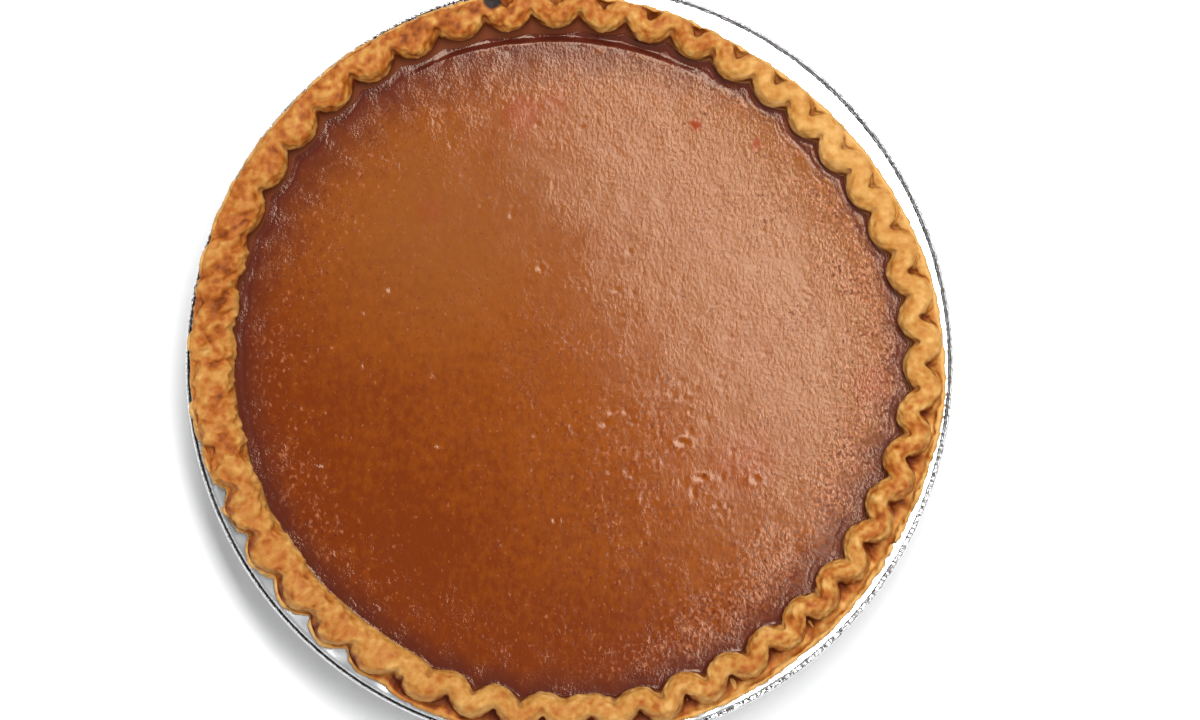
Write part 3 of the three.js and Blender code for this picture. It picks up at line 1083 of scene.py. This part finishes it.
    def relief(self, points: Numbers, count: Numbers, where: Numbers) -> Numbers:
        """How far hands and the oven lift or dent each point of the crust, in mm.

        Args:
            points: The laid out points in mm.
            count: Places round the rim, in flutes.
            where: The number of each line, as section gives it.

        Returns:
            The lift of each point along the surface's normal.
        """
        angle = self.plan.angle(count)[:, None]
        crushed, mottled = self.crushing.at(angle), self.mottling.at(angle)
        shown, on_band = between(where, 0.9, 1.1, 3.9, 4.1), between(where, 1.1, 1.4, 3.2, 3.7)
        broad, fine = self.lumps(points)
        tears, pits = self.slits(points)
        lift = 0.6 * broad + 0.45 * mottled * fine + 2.2 * crushed * self.facets(points)
        lift -= (0.5 * crushed + 0.06 * mottled) * tears * on_band + 0.3 * crushed * pits * on_band
        lift -= 1.3 * self.crack(points, where)
        lift += sum(dent.depth(points) for dent in self.dents) * on_band
        return lift * shown - self.crease_depth * self.creases(points, count) * on_band

    def crack(self, points: Numbers, where: Numbers) -> Numbers:
        """The crack across the lip's rim.

        Args:
            points: The laid out points in mm.
            where: The number of each line, as section gives it.

        Returns:
            The crack's depth at each point, from 0 to 1.
        """
        radius, angle = polar(points)
        across = np.radians(angle % 360 - self.rim_crack) * radius + 0.5 * (radius - self.plan.lip_radius)
        return hump(across, self.crack_width) * between(where, 3.3, 3.6, 3.95, 4.1)

    def creases(self, points: Numbers, count: Numbers) -> Numbers:
        """The fold that runs on from each notch into the band.

        Args:
            points: The laid out points in mm.
            count: Places round the rim, in flutes.

        Returns:
            The fold's depth at each point, as a share of the deepest.
        """
        draw = np.random.default_rng(5)
        strength = draw.uniform(0.5, 1.2, (2, self.plan.flutes))
        lean = draw.uniform(-0.4, 1.0, (2, self.plan.flutes))
        radius, angle = polar(points)[0], self.plan.angle(count)
        middle, width = self.plan.middle(count)[:, None], self.plan.width(angle)[:, None]
        total = np.zeros(radius.shape)
        both = ((0.0, 1, self.outer_creases), (0.5, -1, self.inner_creases))
        for row, (offset, side, lengths) in enumerate(both):
            flute = np.round(count - offset).astype(int)
            away = (count - offset - flute)[:, None]
            index = flute % self.plan.flutes
            inwards = width - side * (radius - middle)
            bent = away - lean[row, index][:, None] * 0.03 * np.maximum(inwards, 0)
            length = lengths.at(angle)[:, None]
            run = np.clip(inwards / length, 0, 1)
            fold = (1 - run) * hump(bent, self.crease_width * (1 - 0.55 * run))
            open_share = (1 - self.notch_closing.at(angle)[:, None] * (side < 0)) * rise(0.1, 0.8, length)
            total = np.maximum(total, strength[row, index][:, None] * open_share * fold)
        return total

    def marks(self, points: Numbers, count: Numbers, where: Numbers) -> dict[str, Numbers]:
        """Says how browned, stained and burnt each point is, and how much shade is painted in its recesses.

        Args:
            points: The laid out points in mm.
            count: Places round the rim, in flutes.
            where: The number of each line, as section gives it.

        Returns:
            The marks by name, from 0 to 1. The browning may go a little past both.
        """
        patches, plan = Grain(21), self.plan
        angle = plan.angle(count)[:, None]
        radius = polar(points)[0]
        mottled, crushed, dark = self.mottling.at(angle), self.crushing.at(angle), self.hollow_shade.at(angle)
        broad, fine = self.lumps(points)
        tears, pits = self.slits(points)
        bake_and_shade = self.browning.at(angle) + 0.14 * patches.layered(points, self.patch_size, 2)
        large, small = self.spot_sizes
        spots = 0.42 * patches.layered(points + 60, large, 2) + 0.14 * patches.layered(points, small, 2)
        bake_and_shade += mottled * (1 - 0.75 * crushed) * spots
        bake_and_shade += 0.1 * rise(-2, 0.5, points[..., 2] - plan.ridge_height(count)[:, None]) * mottled
        # Bumps, flat tops and lumps are painted paler, and dips, pits and dents darker, as painted highlight
        # and shade
        bake_and_shade -= 0.22 * broad + 0.2 * mottled * fine
        bake_and_shade -= crushed * (0.36 * self.facets(points) - 0.2 * pits)
        bake_and_shade -= 0.5 * sum(dent.depth(points) for dent in self.dents)
        # The lip's edge is painted paler, as a painted highlight, and the sides of the band that the
        # oven's heat passed over stay pale
        bake_and_shade -= 0.3 * rise(3.55, 3.8, where) + 0.1 * (1 - rise(1.2, 1.7, where))
        # Painted shade darkens the lip on the side away from the light
        bake_and_shade += self.lip_shade.at(angle) * rise(2.8, 3.1, where)
        # Painted shade darkens the outer hollows most where they end under the band; they turn tan towards
        # the lip
        swing = np.cos(math.tau * count)[:, None]
        outer_notch = rise(-0.1, 0.8, swing)
        inner_notch = rise(-0.1, 0.9, -swing) * (1 - self.notch_closing.at(angle))
        outwards = radius - radius[:, np.argmin(np.abs(where - 3))][:, None]
        in_hollow = dark * between(where, 2.5, 2.95, 3.6, 3.8)
        bake_and_shade += 0.5 * in_hollow * outer_notch * hump(outwards, 3.0)
        recess_shade = in_hollow * outer_notch**1.5 * hump(np.maximum(outwards, 0), 0.9)
        # Painted shade also darkens the inner notches, the creases, the crack and the tears
        recess_shade += inner_notch * between(where, 0.82, 0.95, 1.02, 1.32)
        recess_shade += 0.7 * self.creases(points, count) * between(where, 1.05, 1.3, 3.2, 3.5)
        recess_shade += 0.8 * self.crack(points, where)
        recess_shade += 0.6 * crushed * tears * between(where, 1.1, 1.3, 3.7, 3.9)
        # The wall under the band is custard-stained, and painted shade darkens it under the lobes
        stain_and_shade = self.stain_and_shading.at(angle) * (1 - rise(0.86, 1.04, where + 0.06 * patches.layered(points, 4, 2)))
        x, y, _ = self.blister_radius * np.array(bearing(self.blister_angle))
        spot = away_from(points, x, y) / self.blister_size + 0.25 * patches.layered(points, 2.5, 2)
        char = (1 - rise(0.75, 1.1, spot)) * (radius > 111)
        marks = {"bake_and_shade": np.clip(bake_and_shade, -0.2, 1.3)}
        for name, each in (("fold", recess_shade), ("stain_and_shade", stain_and_shade), ("char", char)):
            marks[name] = np.clip(each, 0, 1)
        return marks

    def build(self) -> None:
        """Models the crust and dresses it."""
        count = self.places()
        radii, levels, where = self.section(count)
        angle = np.radians(self.plan.angle(count))[:, None]
        points = np.stack([radii * np.cos(angle), radii * np.sin(angle), levels], 2)
        shaped = points + self.normals(points) * self.relief(points, count, where)[..., None]
        shaped = self.keep_in(shaped, levels, where)
        plain = list(zip(radii.mean(0), levels.mean(0)))
        crust = lathe("pastry_crust_baked", plain, self.sector_steps, self.doublings)
        station, row = self.addresses(points_of(crust), plain)
        move_points(crust, shaped[station, row])
        marks = self.marks(points, count, where)
        mark(crust, {name: values[station, row] for name, values in marks.items()})
        finish_piece(crust, "pastry_crust", self.finish.make())

    def keep_in(self, shaped: Numbers, levels: Numbers, where: Numbers) -> Numbers:
        """Keeps the lip's underside on the foil and its edge inside the tin's rim.

        Args:
            shaped: The shaped points in mm.
            levels: The heights that they had before they were shaped.
            where: The number of each line, as section gives it.

        Returns:
            The points that are kept in.
        """
        scale = np.minimum(1, self.plan.rim_limit / np.maximum(polar(shaped)[0], 1e-6))
        shaped = shaped * np.stack([scale, scale, np.ones_like(scale)], 2)
        floor = np.minimum(levels, self.flange_top + 0.05)
        shaped[..., 2] = np.where(where > 3.8, np.maximum(shaped[..., 2], floor), shaped[..., 2])
        return shaped

    def addresses(self, spun: Numbers, plain: Profile) -> tuple[Numbers, Numbers]:
        """Finds each spun vertex's place on the laid out grid.

        Args:
            spun: The vertices of the plain spun piece in mm.
            plain: The profile that was spun.

        Returns:
            The number of its station and of its line.
        """
        radius, turned = polar(spun)
        station = np.round(turned * self.stations() / 360).astype(int) % self.stations()
        gaps = [(radius - r) ** 2 + (spun[:, 2] - z) ** 2 for r, z in plain]
        return station, np.argmin(gaps, axis=0)


@dataclass
class CustardFilling:
    """The set custard: it fills the shell, clings to its edge, and has sunk along one stretch of it."""

    plan: RimPlan = PLAN
    grid_steps: int = 300
    level: float = 30.5
    edge_rises: Course = Course(
        (35, 0.25), (62, 0.5), (75, 1), (98, 1), (118, 0.05), (150, 0.09), (190, 0.09), (205, 0.06),
        (225, 0.1), (270, 0.1), (310, 0.2), (350, 0.2),
    )
    edge_widths: Course = Course(
        (35, 0.7), (75, 1.4), (100, 1.6), (140, 2.2), (190, 2.2), (215, 0.6), (270, 0.7), (310, 0.8),
    )
    edge_levels: Course = Course(
        (0, 1.3), (40, 1.6), (75, 0.5), (100, 0.1), (150, 0), (180, 0.1), (230, 0.3), (290, 1.2),
        (325, 1.5),
    )
    level_reach: float = 14.0
    crown: float = 0.7
    sunken: Swells = Swells((92, 13, 2.6))
    sunken_width: float = 4.6
    ledge_inset: float = 1.7
    embedded: float = 0.15
    foot: float = 8.0
    floor: float = 6.0
    finish: SetCustard = field(default_factory=SetCustard)
    crust: PastryCrust = field(default_factory=PastryCrust)

    def neck_at(self, angle: Numbers) -> Numbers:
        """Finds the top of the pastry wall.

        Args:
            angle: Angles in degrees.

        Returns:
            The wall's radius at each angle.
        """
        count = self.crust.places()
        necks = self.crust.neck(count, self.crust.band_sides(count)[0][:, -1])
        return np.interp(angle % 360, self.plan.angle(count) % 360, necks, period=360)

    def surface(self, share: Numbers, angle: Numbers) -> tuple[Numbers, Numbers, Numbers]:
        """Places the custard's top.

        Args:
            share: The share of the way from the middle to the edge.
            angle: Angles in degrees.

        Returns:
            Radius, height and distance from the edge.
        """
        sunk = self.sunken.at(angle)
        slope_top, wall_top = self.crust.slope_top, self.crust.wall_top
        below = (wall_top - sunk - slope_top) / (wall_top - slope_top)
        edge = blend(self.crust.cone(slope_top), self.neck_at(angle), below) + self.embedded
        smooth = self.plan.lobe_edge(angle)
        # The edge's waves fade towards the middle, so that they don't reach across the pie
        fade = rise(0.8, 1.0, share)
        radius = share * blend(smooth, edge, fade)
        inwards = (edge - radius) * blend(1.0, smooth / edge, 1 - fade)
        # The level follows the even line, so that it doesn't tilt between the lobes
        even = 1.5 * np.logaddexp(0, (smooth - radius) / 1.5)
        climb = self.edge_rises.at(angle) * hump(inwards, self.edge_widths.at(angle))
        climb += self.edge_levels.at(angle) * np.exp(-even / self.level_reach)
        ledge = np.maximum(smooth + self.ledge_inset - radius, 0)
        drop = sunk * np.exp(-((ledge / self.sunken_width) ** 10))
        return radius, self.level + self.crown * (1 - share**2) + climb - drop, inwards

    def build(self) -> None:
        """Models the custard and dresses it."""
        deselect()
        steps = self.grid_steps
        bpy.ops.mesh.primitive_grid_add(x_subdivisions=steps, y_subdivisions=steps, size=2 * MM)
        custard = bpy.context.object
        custard.name = custard.data.name = "pumpkin_custard"
        # The square grid is drawn into a disc
        a, b = points_of(custard)[:, :2].T
        share, angle = polar(np.stack([a * np.sqrt(1 - b**2 / 2), b * np.sqrt(1 - a**2 / 2)], 1))
        radius, z, inwards = self.surface(np.minimum(share, 1), angle)
        turned = np.radians(angle)
        points = np.stack([radius * np.cos(turned), radius * np.sin(turned), z], 1)
        skin = CustardSkin(points, inwards, angle)
        points[:, 2] += skin.relief()
        move_points(custard, points)
        self.close(custard)
        mark(custard, skin.marks())
        finish_piece(custard, "pumpkin_filling", self.finish.make())

    def close(self, custard: bpy.types.Object) -> None:
        """Extrudes the custard's edge down inside the pastry and closes it over the shell's floor.

        Args:
            custard: The custard's top.
        """
        bpy.ops.object.mode_set(mode="EDIT")
        bpy.ops.mesh.select_mode(type="VERT")
        bpy.ops.mesh.select_all(action="DESELECT")
        bpy.ops.mesh.select_non_manifold()
        for height, inset in ((self.crust.slope_top - 1, 0.1), (self.foot, 0.1), (self.floor, 4.2)):
            bpy.ops.mesh.extrude_region_move()
            self.place_ring(custard, self.crust.cone(height) - inset, height)
        bpy.ops.mesh.extrude_region_move()
        bpy.ops.mesh.merge(type="CENTER")
        bpy.ops.mesh.select_all(action="SELECT")
        bpy.ops.mesh.normals_make_consistent(inside=False)
        bpy.ops.object.mode_set(mode="OBJECT")

    def place_ring(self, custard: bpy.types.Object, radius: float, height: float) -> None:
        """Puts the selected ring of vertices at one radius and height.

        Args:
            custard: The custard, in edit mode.
            radius: The ring's radius in mm.
            height: Its height in mm.
        """
        bpy.ops.object.mode_set(mode="OBJECT")
        for vertex in custard.data.vertices:
            if vertex.select:
                flat = Vector((vertex.co.x, vertex.co.y, 0)).normalized() * radius * MM
                vertex.co = (flat.x, flat.y, height * MM)
        bpy.ops.object.mode_set(mode="EDIT")


@dataclass
class CustardSkin:
    """The relief and colour marks of the custard's baked skin.

    The points of the custard's top come with their distances from its edge and their angles. Craters, pits
    and bubbles are seen in the picture, and have their place there and their size in mm. A spot has its
    place, size and strength. Glow and clearing are places where the painted sheen is raised or lowered,
    and fresh a place where the colour is less deep, each with a width.
    """

    points: Numbers
    inwards: Numbers
    angle: Numbers
    craters: Triples = (
        (682, 443, 4.2), (700, 478, 4.0), (690, 412, 2.4), (755, 480, 4.0), (540, 268, 3.0), (555, 520, 2.8),
        (441, 446, 3.4), (437, 434, 2.4),
    )
    pits: Triples = (
        (693, 492, 2.4), (683, 397, 2.0), (707, 421, 1.8), (721, 477, 1.6), (391, 289, 3.0), (366, 312, 2.6),
        (340, 257, 2.4), (325, 465, 3.0), (606, 424, 2.6), (612, 412, 2.0), (575, 432, 1.8), (435, 375, 2.4),
        (512, 215, 2.0), (661, 124, 1.6), (599, 111, 1.5), (720, 188, 1.8), (787, 189, 1.8), (661, 202, 1.4),
        (762, 231, 1.5), (581, 127, 1.5), (742, 166, 1.3), (806, 232, 1.4), (365, 365, 2.4),
    )
    bubbles: Triples = (
        (637, 467, 1.8), (628, 486, 1.6), (636, 500, 1.6), (585, 559, 1.8), (573, 612, 2.2), (643, 575, 1.8),
        (669, 559, 1.6), (734, 544, 1.8), (504, 371, 1.9), (567, 428, 2.2), (587, 439, 2.2), (550, 489, 2.0),
        (508, 485, 1.6),
    )
    spots: tuple[tuple[float, float, float, float], ...] = (
        (696, 124, 1.8, 0.8), (757, 143, 1.5, 0.65), (872, 385, 5.0, 0.3), (523, 112, 6.0, 0.4),
        (555, 100, 4.0, 0.3), (430, 210, 4.0, 0.25), (745, 455, 9.0, 0.2),
    )
    glow: tuple[float, float, float] = (425, 222, 38)
    clearing: tuple[float, float, float] = (680, 520, 50)
    fresh: tuple[float, float, float] = (680, 520, 45)
    cluster: tuple[float, float] = (650, 460)
    cluster_size: float = 20.0
    scattered: int = 260
    skin_radius: float = 98.0
    ripple: float = 1.6
    ripple_height: float = 0.05
    scab: float = 1.0
    scab_height: float = 0.18
    dried_reach: float = 24.0
    patch_size: float = 30.0
    fine_size: float = 7.0
    pore_patches: float = 11.0
    gritty_middle: tuple[float, float, float] = (24, -18, 38)
    rough_middle: tuple[float, float, float] = (24, -22, 42)
    scab_shares: Course = Course(
        (20, 0.1), (90, 0.2), (120, 0.4), (165, 0.5), (185, 0.5), (205, 0.55), (240, 0.4), (270, 0.2),
        (300, 0.35), (325, 0.5), (345, 0.4),
    )
    grit_shares: Course = Course(
        (20, 0.75), (55, 0.5), (90, 0.5), (130, 0.5), (200, 0.5), (240, 0.2), (262, 0.15), (282, 0.5),
        (300, 1), (330, 1.1), (350, 0.9),
    )
    edge_widths: Course = Course(
        (20, 7), (50, 8), (75, 18), (92, 22), (140, 23), (180, 15), (230, 11), (290, 11), (325, 14),
        (350, 13),
    )
    edge_depths: Course = Course(
        (5, 0.7), (45, 0.5), (72, 0.95), (92, 1), (140, 0.95), (200, 0.85), (290, 0.9), (330, 0.85),
    )
    streaked: Swells = Swells((92, 18, 1.0), (50, 22, 0.7), (5, 20, 0.5))
    even: Swells = Swells((92, 22, 1.4), (50, 30, 1.3))
    near_lines: Swells = Swells((52, 38, 1.1), (5, 22, 0.7), (290, 30, 0.35))
    far_lines: Swells = Swells((92, 17, 1.0), (60, 12, 0.5), (5, 14, 0.4))
    left_lines: Swells = Swells((172, 34, 1.0))
    # Where painted shade darkens the custard in the notches between the crust's lobes
    recess_shade: Swells = Swells((48, 44, 1.2), (340, 44, 1.0))
    lined: Swells = Swells((50, 36, 1.2))
    widened: Swells = Swells((60, 34, 0.5))
    sunken: Swells = Swells((92, 17, 0.8))

    def __post_init__(self) -> None:
        """Keeps the points without their heights."""
        self.flat = self.points * (1, 1, 0)

    def leather(self) -> Numbers:
        """How wrinkled the skin is, from 0 to 1: most on the right and along the edge.

        Returns:
            The strength of the wrinkles.
        """
        patches = Grain(41).layered(self.flat, self.patch_size, 3)
        fine = Grain(61).layered(self.flat, self.fine_size, 2)
        right = rise(0.05, 0.72, self.along(0.86, 0.5) + 0.3 * patches)
        skin = (0.06 + 0.18 * right) * np.clip(1 + fine + 0.5 * patches, 0.5, 1.8)
        local = Grain(47).at(self.flat + 5, 6) + 0.5 * patches
        near_edge = self.scab_shares.at(self.angle) * hump(self.inwards, self.dried_reach)
        return np.clip(skin + near_edge * (0.15 + 0.55 * local), 0.04, 1)

    def pores_and_glints(self) -> Numbers:
        """How clearly open pores and painted glints show, from 0 to 1: in patches and along the lower right
        edge.

        Returns:
            The strength of the pores and of the painted glints.
        """
        patches = Grain(67).layered(self.flat, self.pore_patches, 2)
        right = rise(-40, 50, self.points[:, 0])
        ring = self.grit_shares.at(self.angle) * hump(self.inwards - 7, 15)
        x, y, width = self.gritty_middle
        middle = hump(away_from(self.points, x, y), width)
        notch = rise(0, 2, -self.ledge())
        pores_and_glints = (0.05 + 0.5 * patches) * (0.4 + 0.6 * right) + 0.85 * ring + 0.35 * middle - 0.5 * notch
        return np.clip(pores_and_glints, 0.02, 1)

    def scabs(self) -> Numbers:
        """Where the skin dried in rough patches that glint: in spots near the edge, least in the middle.

        Returns:
            The strength of the patches, from 0 to about 2.
        """
        patches = Grain(47)
        spread = patches.at(self.flat, 9) + 0.5 * patches.at(self.flat + 20, 3.5)
        ring = hump(self.inwards - 14, 14) * self.scab_shares.at(self.angle)
        ring = ring * (0.4 + 1.3 * patches.at(self.flat + 5, 6))
        x, y, width = self.rough_middle
        middle = hump(away_from(self.points, x, y), width)
        return np.clip(0.04 + 0.5 * spread + ring + 0.2 * middle, 0, 1.6) + 0.25 * hump(self.inwards, 1.5)

    def relief(self) -> Numbers:
        """The height of the skin's relief over the smooth custard.

        Returns:
            The heights in mm.
        """
        wrinkles = Grain(31)
        # The skin shrank across the pie, which draws its wrinkles out one way
        ripples = wrinkles.layered(self.flat * (1, 0.7, 0), self.ripple, 2)
        crumbs = wrinkles.layered(self.flat * (0.75, 1, 0) + 70, self.scab, 2)
        height = self.ripple_height * self.leather() * ripples + self.scab_height * self.scabs() * crumbs
        uneven = Grain(37).layered(self.flat, 20, 3) * rise(0, 10, self.inwards)
        height += 0.06 * (uneven + self.streaks())
        height += sum(lift * shown for lift, shown in self.skin_lines())
        for x, y, size, kind in self.all_marks():
            stretch = 1 + 0.35 * math.sin(7 * x + 3 * y)
            across, along = (self.points[:, 0] - x) * stretch, (self.points[:, 1] - y) / stretch
            away = np.hypot(across, along) / (size / 2)
            near = away < 3
            height[near] += self.bump(kind, away[near]) * size / 2
        return height

    def streaks(self) -> Numbers:
        """Thin broken folds that run along the edge at the back, between about -1 and 1.

        Returns:
            The height of the folds at each point.
        """
        along = np.radians(self.angle) * 100
        folds = Grain(59).layered(np.stack([along / 8, self.inwards, 0 * along], 1), 0.9, 2)
        return 2.2 * folds * np.clip(self.streaked.at(self.angle), 0, 1) * (1 - rise(4.5, 7.5, self.inwards))

    def along(self, x: float, y: float) -> Numbers:
        """How far each point lies along a direction from the pie's axis, in units of 100 mm."""
        return self.points @ (x, y, 0) / 100

    def nearness(self, x: float, y: float, width: float) -> Numbers:
        """How near each point is to a place in the picture, from 0 to 1, fading over a width in mm."""
        return hump(away_from(self.points, *PHOTO.place(x, y)), width)

    def ledge(self) -> Numbers:
        """Distances inwards from the even line that the sunken stretch follows, in mm."""
        return PLAN.lobe_edge(self.angle) + CustardFilling.ledge_inset - polar(self.points)[0]

    def follow(self) -> Numbers:
        """Distances inwards that the lines follow: from the even line at the back, else from the edge."""
        return blend(self.inwards, self.ledge(), np.clip(self.even.at(self.angle), 0, 1))

    def wander(self) -> Numbers:
        """How far the lines along the edge stray from an even course, in mm."""
        return 0.7 * Grain(37).at(self.flat, 11) + 0.35 * Grain(37).at(self.flat, 4)

    def skin_lines(self) -> list[tuple[float, Numbers]]:
        """The lines that the sinking custard left along its edge.

        Returns:
            Each line's lift in mm, and how clearly it shows at each point.
        """
        broken, follow = Grain(53), self.follow() + self.wander()
        near = np.clip(self.near_lines.at(self.angle), 0, 1) * rise(-0.2, 0.5, broken.at(self.flat, 8))
        far = np.clip(self.far_lines.at(self.angle), 0, 1) * rise(0.0, 0.4, broken.at(self.flat + 40, 7))
        left = self.left_lines.at(self.angle)
        lines = (
            (2.2, 0.03, 0.4, near),
            (3.4, -0.12, 0.55, near),
            (4.3, 0.045, 0.4, far),
            (3.5, -0.06, 0.5, left),
        )
        return [(lift, hump(follow - line, width) * share) for line, lift, width, share in lines]

    def all_marks(self) -> list[tuple[float, float, float, Blemish]]:
        """The marks that show in the picture, and small ones scattered between them by a seeded draw.

        Returns:
            Each mark's place and size in mm and its kind.
        """
        seen = ((Blemish.CRATER, self.craters), (Blemish.PIT, self.pits), (Blemish.BUBBLE, self.bubbles))
        marks = [(*PHOTO.place(x, y), size, kind) for kind, places in seen for x, y, size in places]
        draw = np.random.default_rng(17)
        centre = np.array(PHOTO.place(*self.cluster))
        for i in range(self.scattered):
            if i % 3:
                radius, turned = self.skin_radius * math.sqrt(draw.uniform()), draw.uniform(0, math.tau)
                x, y = radius * math.cos(turned), radius * math.sin(turned)
            else:
                x, y = centre + draw.normal(0, self.cluster_size, 2)
            kind = (Blemish.BUBBLE, Blemish.PIT, Blemish.PIT)[draw.integers(3)]
            if math.hypot(x, y) < self.skin_radius + 1:
                marks.append((x, y, 0.8 + 1.2 * draw.uniform() ** 3, kind))
        return marks

    def bump(self, kind: Blemish, away: Numbers) -> Numbers:
        """The section of a mark.

        Args:
            kind: The kind of mark.
            away: Distances from its middle, as shares of its radius.

        Returns:
            Heights as shares of its radius.
        """
        if kind is Blemish.BUBBLE:
            return 0.06 * hump(away, 0.75)
        if kind is Blemish.PIT:
            return -0.12 * hump(away, 0.7)
        return 0.04 * hump(away - 1, 0.3) - 0.06 * hump(away, 0.7)

    def marks(self) -> dict[str, Numbers]:
        """Says how deep, edge-brown, wrinkled, gritty and spotted each point is, with painted sheen and
        shade.

        Returns:
            The marks by name, from 0 to 1.
        """
        patches = Grain(43)
        # Painted shade deepens the lower left, away from the light, and painted sheen pales the lit right
        shade_lower_left = rise(-0.3, 1.0, self.along(-0.55, -0.8))
        lit = rise(-0.25, 0.85, self.along(0.93, 0.37) + 0.22 * patches.layered(self.flat, 22, 2))
        spot = np.zeros(len(self.points))
        for x, y, size, share in self.spots:
            away = away_from(self.points, *PHOTO.place(x, y)) / size + 0.5 * patches.at(self.flat, size)
            spot = np.maximum(spot, share * (1 - rise(0.4, 1.6, away)))
        inner = 0.36 * np.exp(-self.inwards / 24)
        marks = {
            "depth": 0.1 + 0.8 * shade_lower_left + inner - 0.3 * self.nearness(*self.fresh),
            "edge": self.edge_brown_and_shade(),
            "painted_sheen": lit + 0.58 * self.nearness(*self.glow) - 0.35 * self.nearness(*self.clearing),
            "leather": self.leather(),
            "pores_and_glints": self.pores_and_glints(),
            "spot": spot,
        }
        return {name: np.clip(each, 0, 1) for name, each in marks.items()}

    def edge_brown_and_shade(self) -> Numbers:
        """How brown the skin baked towards its edge, with painted shade and highlight near the crust.

        Returns:
            The browning, from 0 for none to 1. It may go past both.
        """
        patches, angle = Grain(43), self.angle
        wobble = self.inwards + 2.4 * patches.layered(self.flat, 9, 3)
        edge = (1 - rise(0.0, 1.0, wobble / self.edge_widths.at(angle))) * self.edge_depths.at(angle)
        # Raised lines and folds are painted paler and grooves darker, as painted highlight and shade
        for lift, shown in self.skin_lines():
            edge -= (2.0 if lift > 0 else 6.0) * lift * shown
        edge -= 0.4 * self.streaks()
        # Between the lobes of the crust the custard lies deeper, and painted shade darkens it there
        recess_shade = np.clip(self.recess_shade.at(angle), 0, 1)
        edge += 1.1 * recess_shade * rise(-0.6, 2.0, -self.ledge())
        follow = self.follow()
        # A band of painted shade runs along the north-east edge
        edge += 0.4 * np.clip(self.lined.at(angle), 0, 1) * (1 - rise(2.6, 4.0, follow + self.wander()))
        # Painted contact shade runs along the edge under the crust, weaker where the notches are shaded
        contact_shade_width = 1.0 + 0.9 * patches.layered(self.flat + 70, 4.5, 2) + self.widened.at(angle)
        edge += (0.7 - 0.5 * recess_shade) * hump(self.inwards, contact_shade_width)
        # The sunken stretch at the north is darker: stained, and painted shade in its recess
        return edge + self.sunken.at(angle) * (1 - rise(4.2, 5.6, follow + 0.4 * patches.at(self.flat, 5)))


@dataclass
class Studio:
    """A plain pale table top, one large soft light at the upper right, and the picture's camera."""

    floor_size: float = 8000.0
    paper: str = "fbfbfb"
    light_height: float = 1800.0
    light_middle: tuple[float, float] = (202.7, 599.5)
    light_turn: float = 26.0
    light_width: float = 1980.0
    light_depth: float = 590.0
    light_power: float = 54.0
    sky_bright: float = 0.9
    sky_dark: float = 0.02
    sky_towards: tuple[float, float, float] = (-0.5, -0.7, 0.45)
    far_clip: float = 50.0

    def build(self) -> None:
        """Sets the floor, the lights and the camera."""
        self.lay_floor()
        self.hang_light()
        self.light_room()
        self.aim()

    def lay_floor(self) -> None:
        """Lays the pale floor that the tin stands on."""
        deselect()
        bpy.ops.mesh.primitive_plane_add(size=self.floor_size * MM, location=(0, 0, 0))
        floor = bpy.context.object
        floor.name = "floor"
        material, add, place, _ = new_material("white_matt_paper")
        tooth = add("TexNoise", {"Vector": place, "Scale": 400.0, "Detail": 2})
        relief = add("Bump", {"Height": tooth, "Strength": 0.05, "Distance": 0.1 * MM})
        look = {"Base Color": linear(self.paper), "Roughness": 0.9, "Specular IOR Level": 0.1}
        floor.data.materials.append(shade(material, {"Normal": relief, **look}))

    def hang_light(self) -> None:
        """Hangs the soft light level over the pie."""
        x, y = self.light_middle
        bpy.ops.object.light_add(type="AREA", location=(x * MM, y * MM, self.light_height * MM))
        light = bpy.context.object
        light.name = "soft_light"
        light.data.shape = "RECTANGLE"
        light.data.size, light.data.size_y = self.light_depth * MM, self.light_width * MM
        light.data.energy = self.light_power
        light.rotation_euler = (0, 0, math.radians(self.light_turn))

    def light_room(self) -> None:
        """Lights the room softly from the side facing the light, with dark walls that the foil mirrors."""
        world = bpy.data.worlds.new("studio")
        bpy.context.scene.world = world
        world.use_nodes = True
        add = partial(add_node, world.node_tree)
        inputs = {0: add("TexCoord", {}, "Generated"), 1: Vector(self.sky_towards).normalized()}
        facing = add("VectorMath", inputs, "Value", operation="DOT_PRODUCT")
        lit = add("Math", {0: facing, 1: 0.0}, operation="MAXIMUM")
        squared = add("Math", {0: lit, 1: 2.0}, operation="POWER")
        strength = add("Math", {0: squared, 1: self.sky_bright, 2: self.sky_dark}, **SCALE_AND_ADD)
        plug(world.node_tree.nodes["Background"], {"Color": (1, 1, 1, 1), "Strength": strength})

    def aim(self) -> None:
        """Aims the camera as the picture was taken."""
        middle_x, middle_y = PHOTO.place(PHOTO.frame_width / 2, PHOTO.frame_height / 2)
        tilt = math.radians(PHOTO.elevation)
        back = Vector((0, -math.cos(tilt), math.sin(tilt)))
        target = Vector((middle_x, middle_y, FoilTin.depth)) * MM
        bpy.ops.object.camera_add(location=target + back * PHOTO.distance() * MM)
        camera = bpy.context.object
        camera.rotation_euler = back.to_track_quat("Z", "Y").to_euler()
        camera.data.lens = PHOTO.lens
        camera.data.sensor_width = PHOTO.sensor
        camera.data.clip_end = self.far_clip
        bpy.context.scene.camera = camera


def main() -> None:
    """Builds the pie and its studio."""
    logging.basicConfig(level=logging.INFO)
    bpy.context.scene.view_settings.view_transform = "Standard"
    Studio().build()
    FoilTin().build()
    PastryCrust().build()
    CustardFilling().build()


if __name__ == "__main__":
    main()
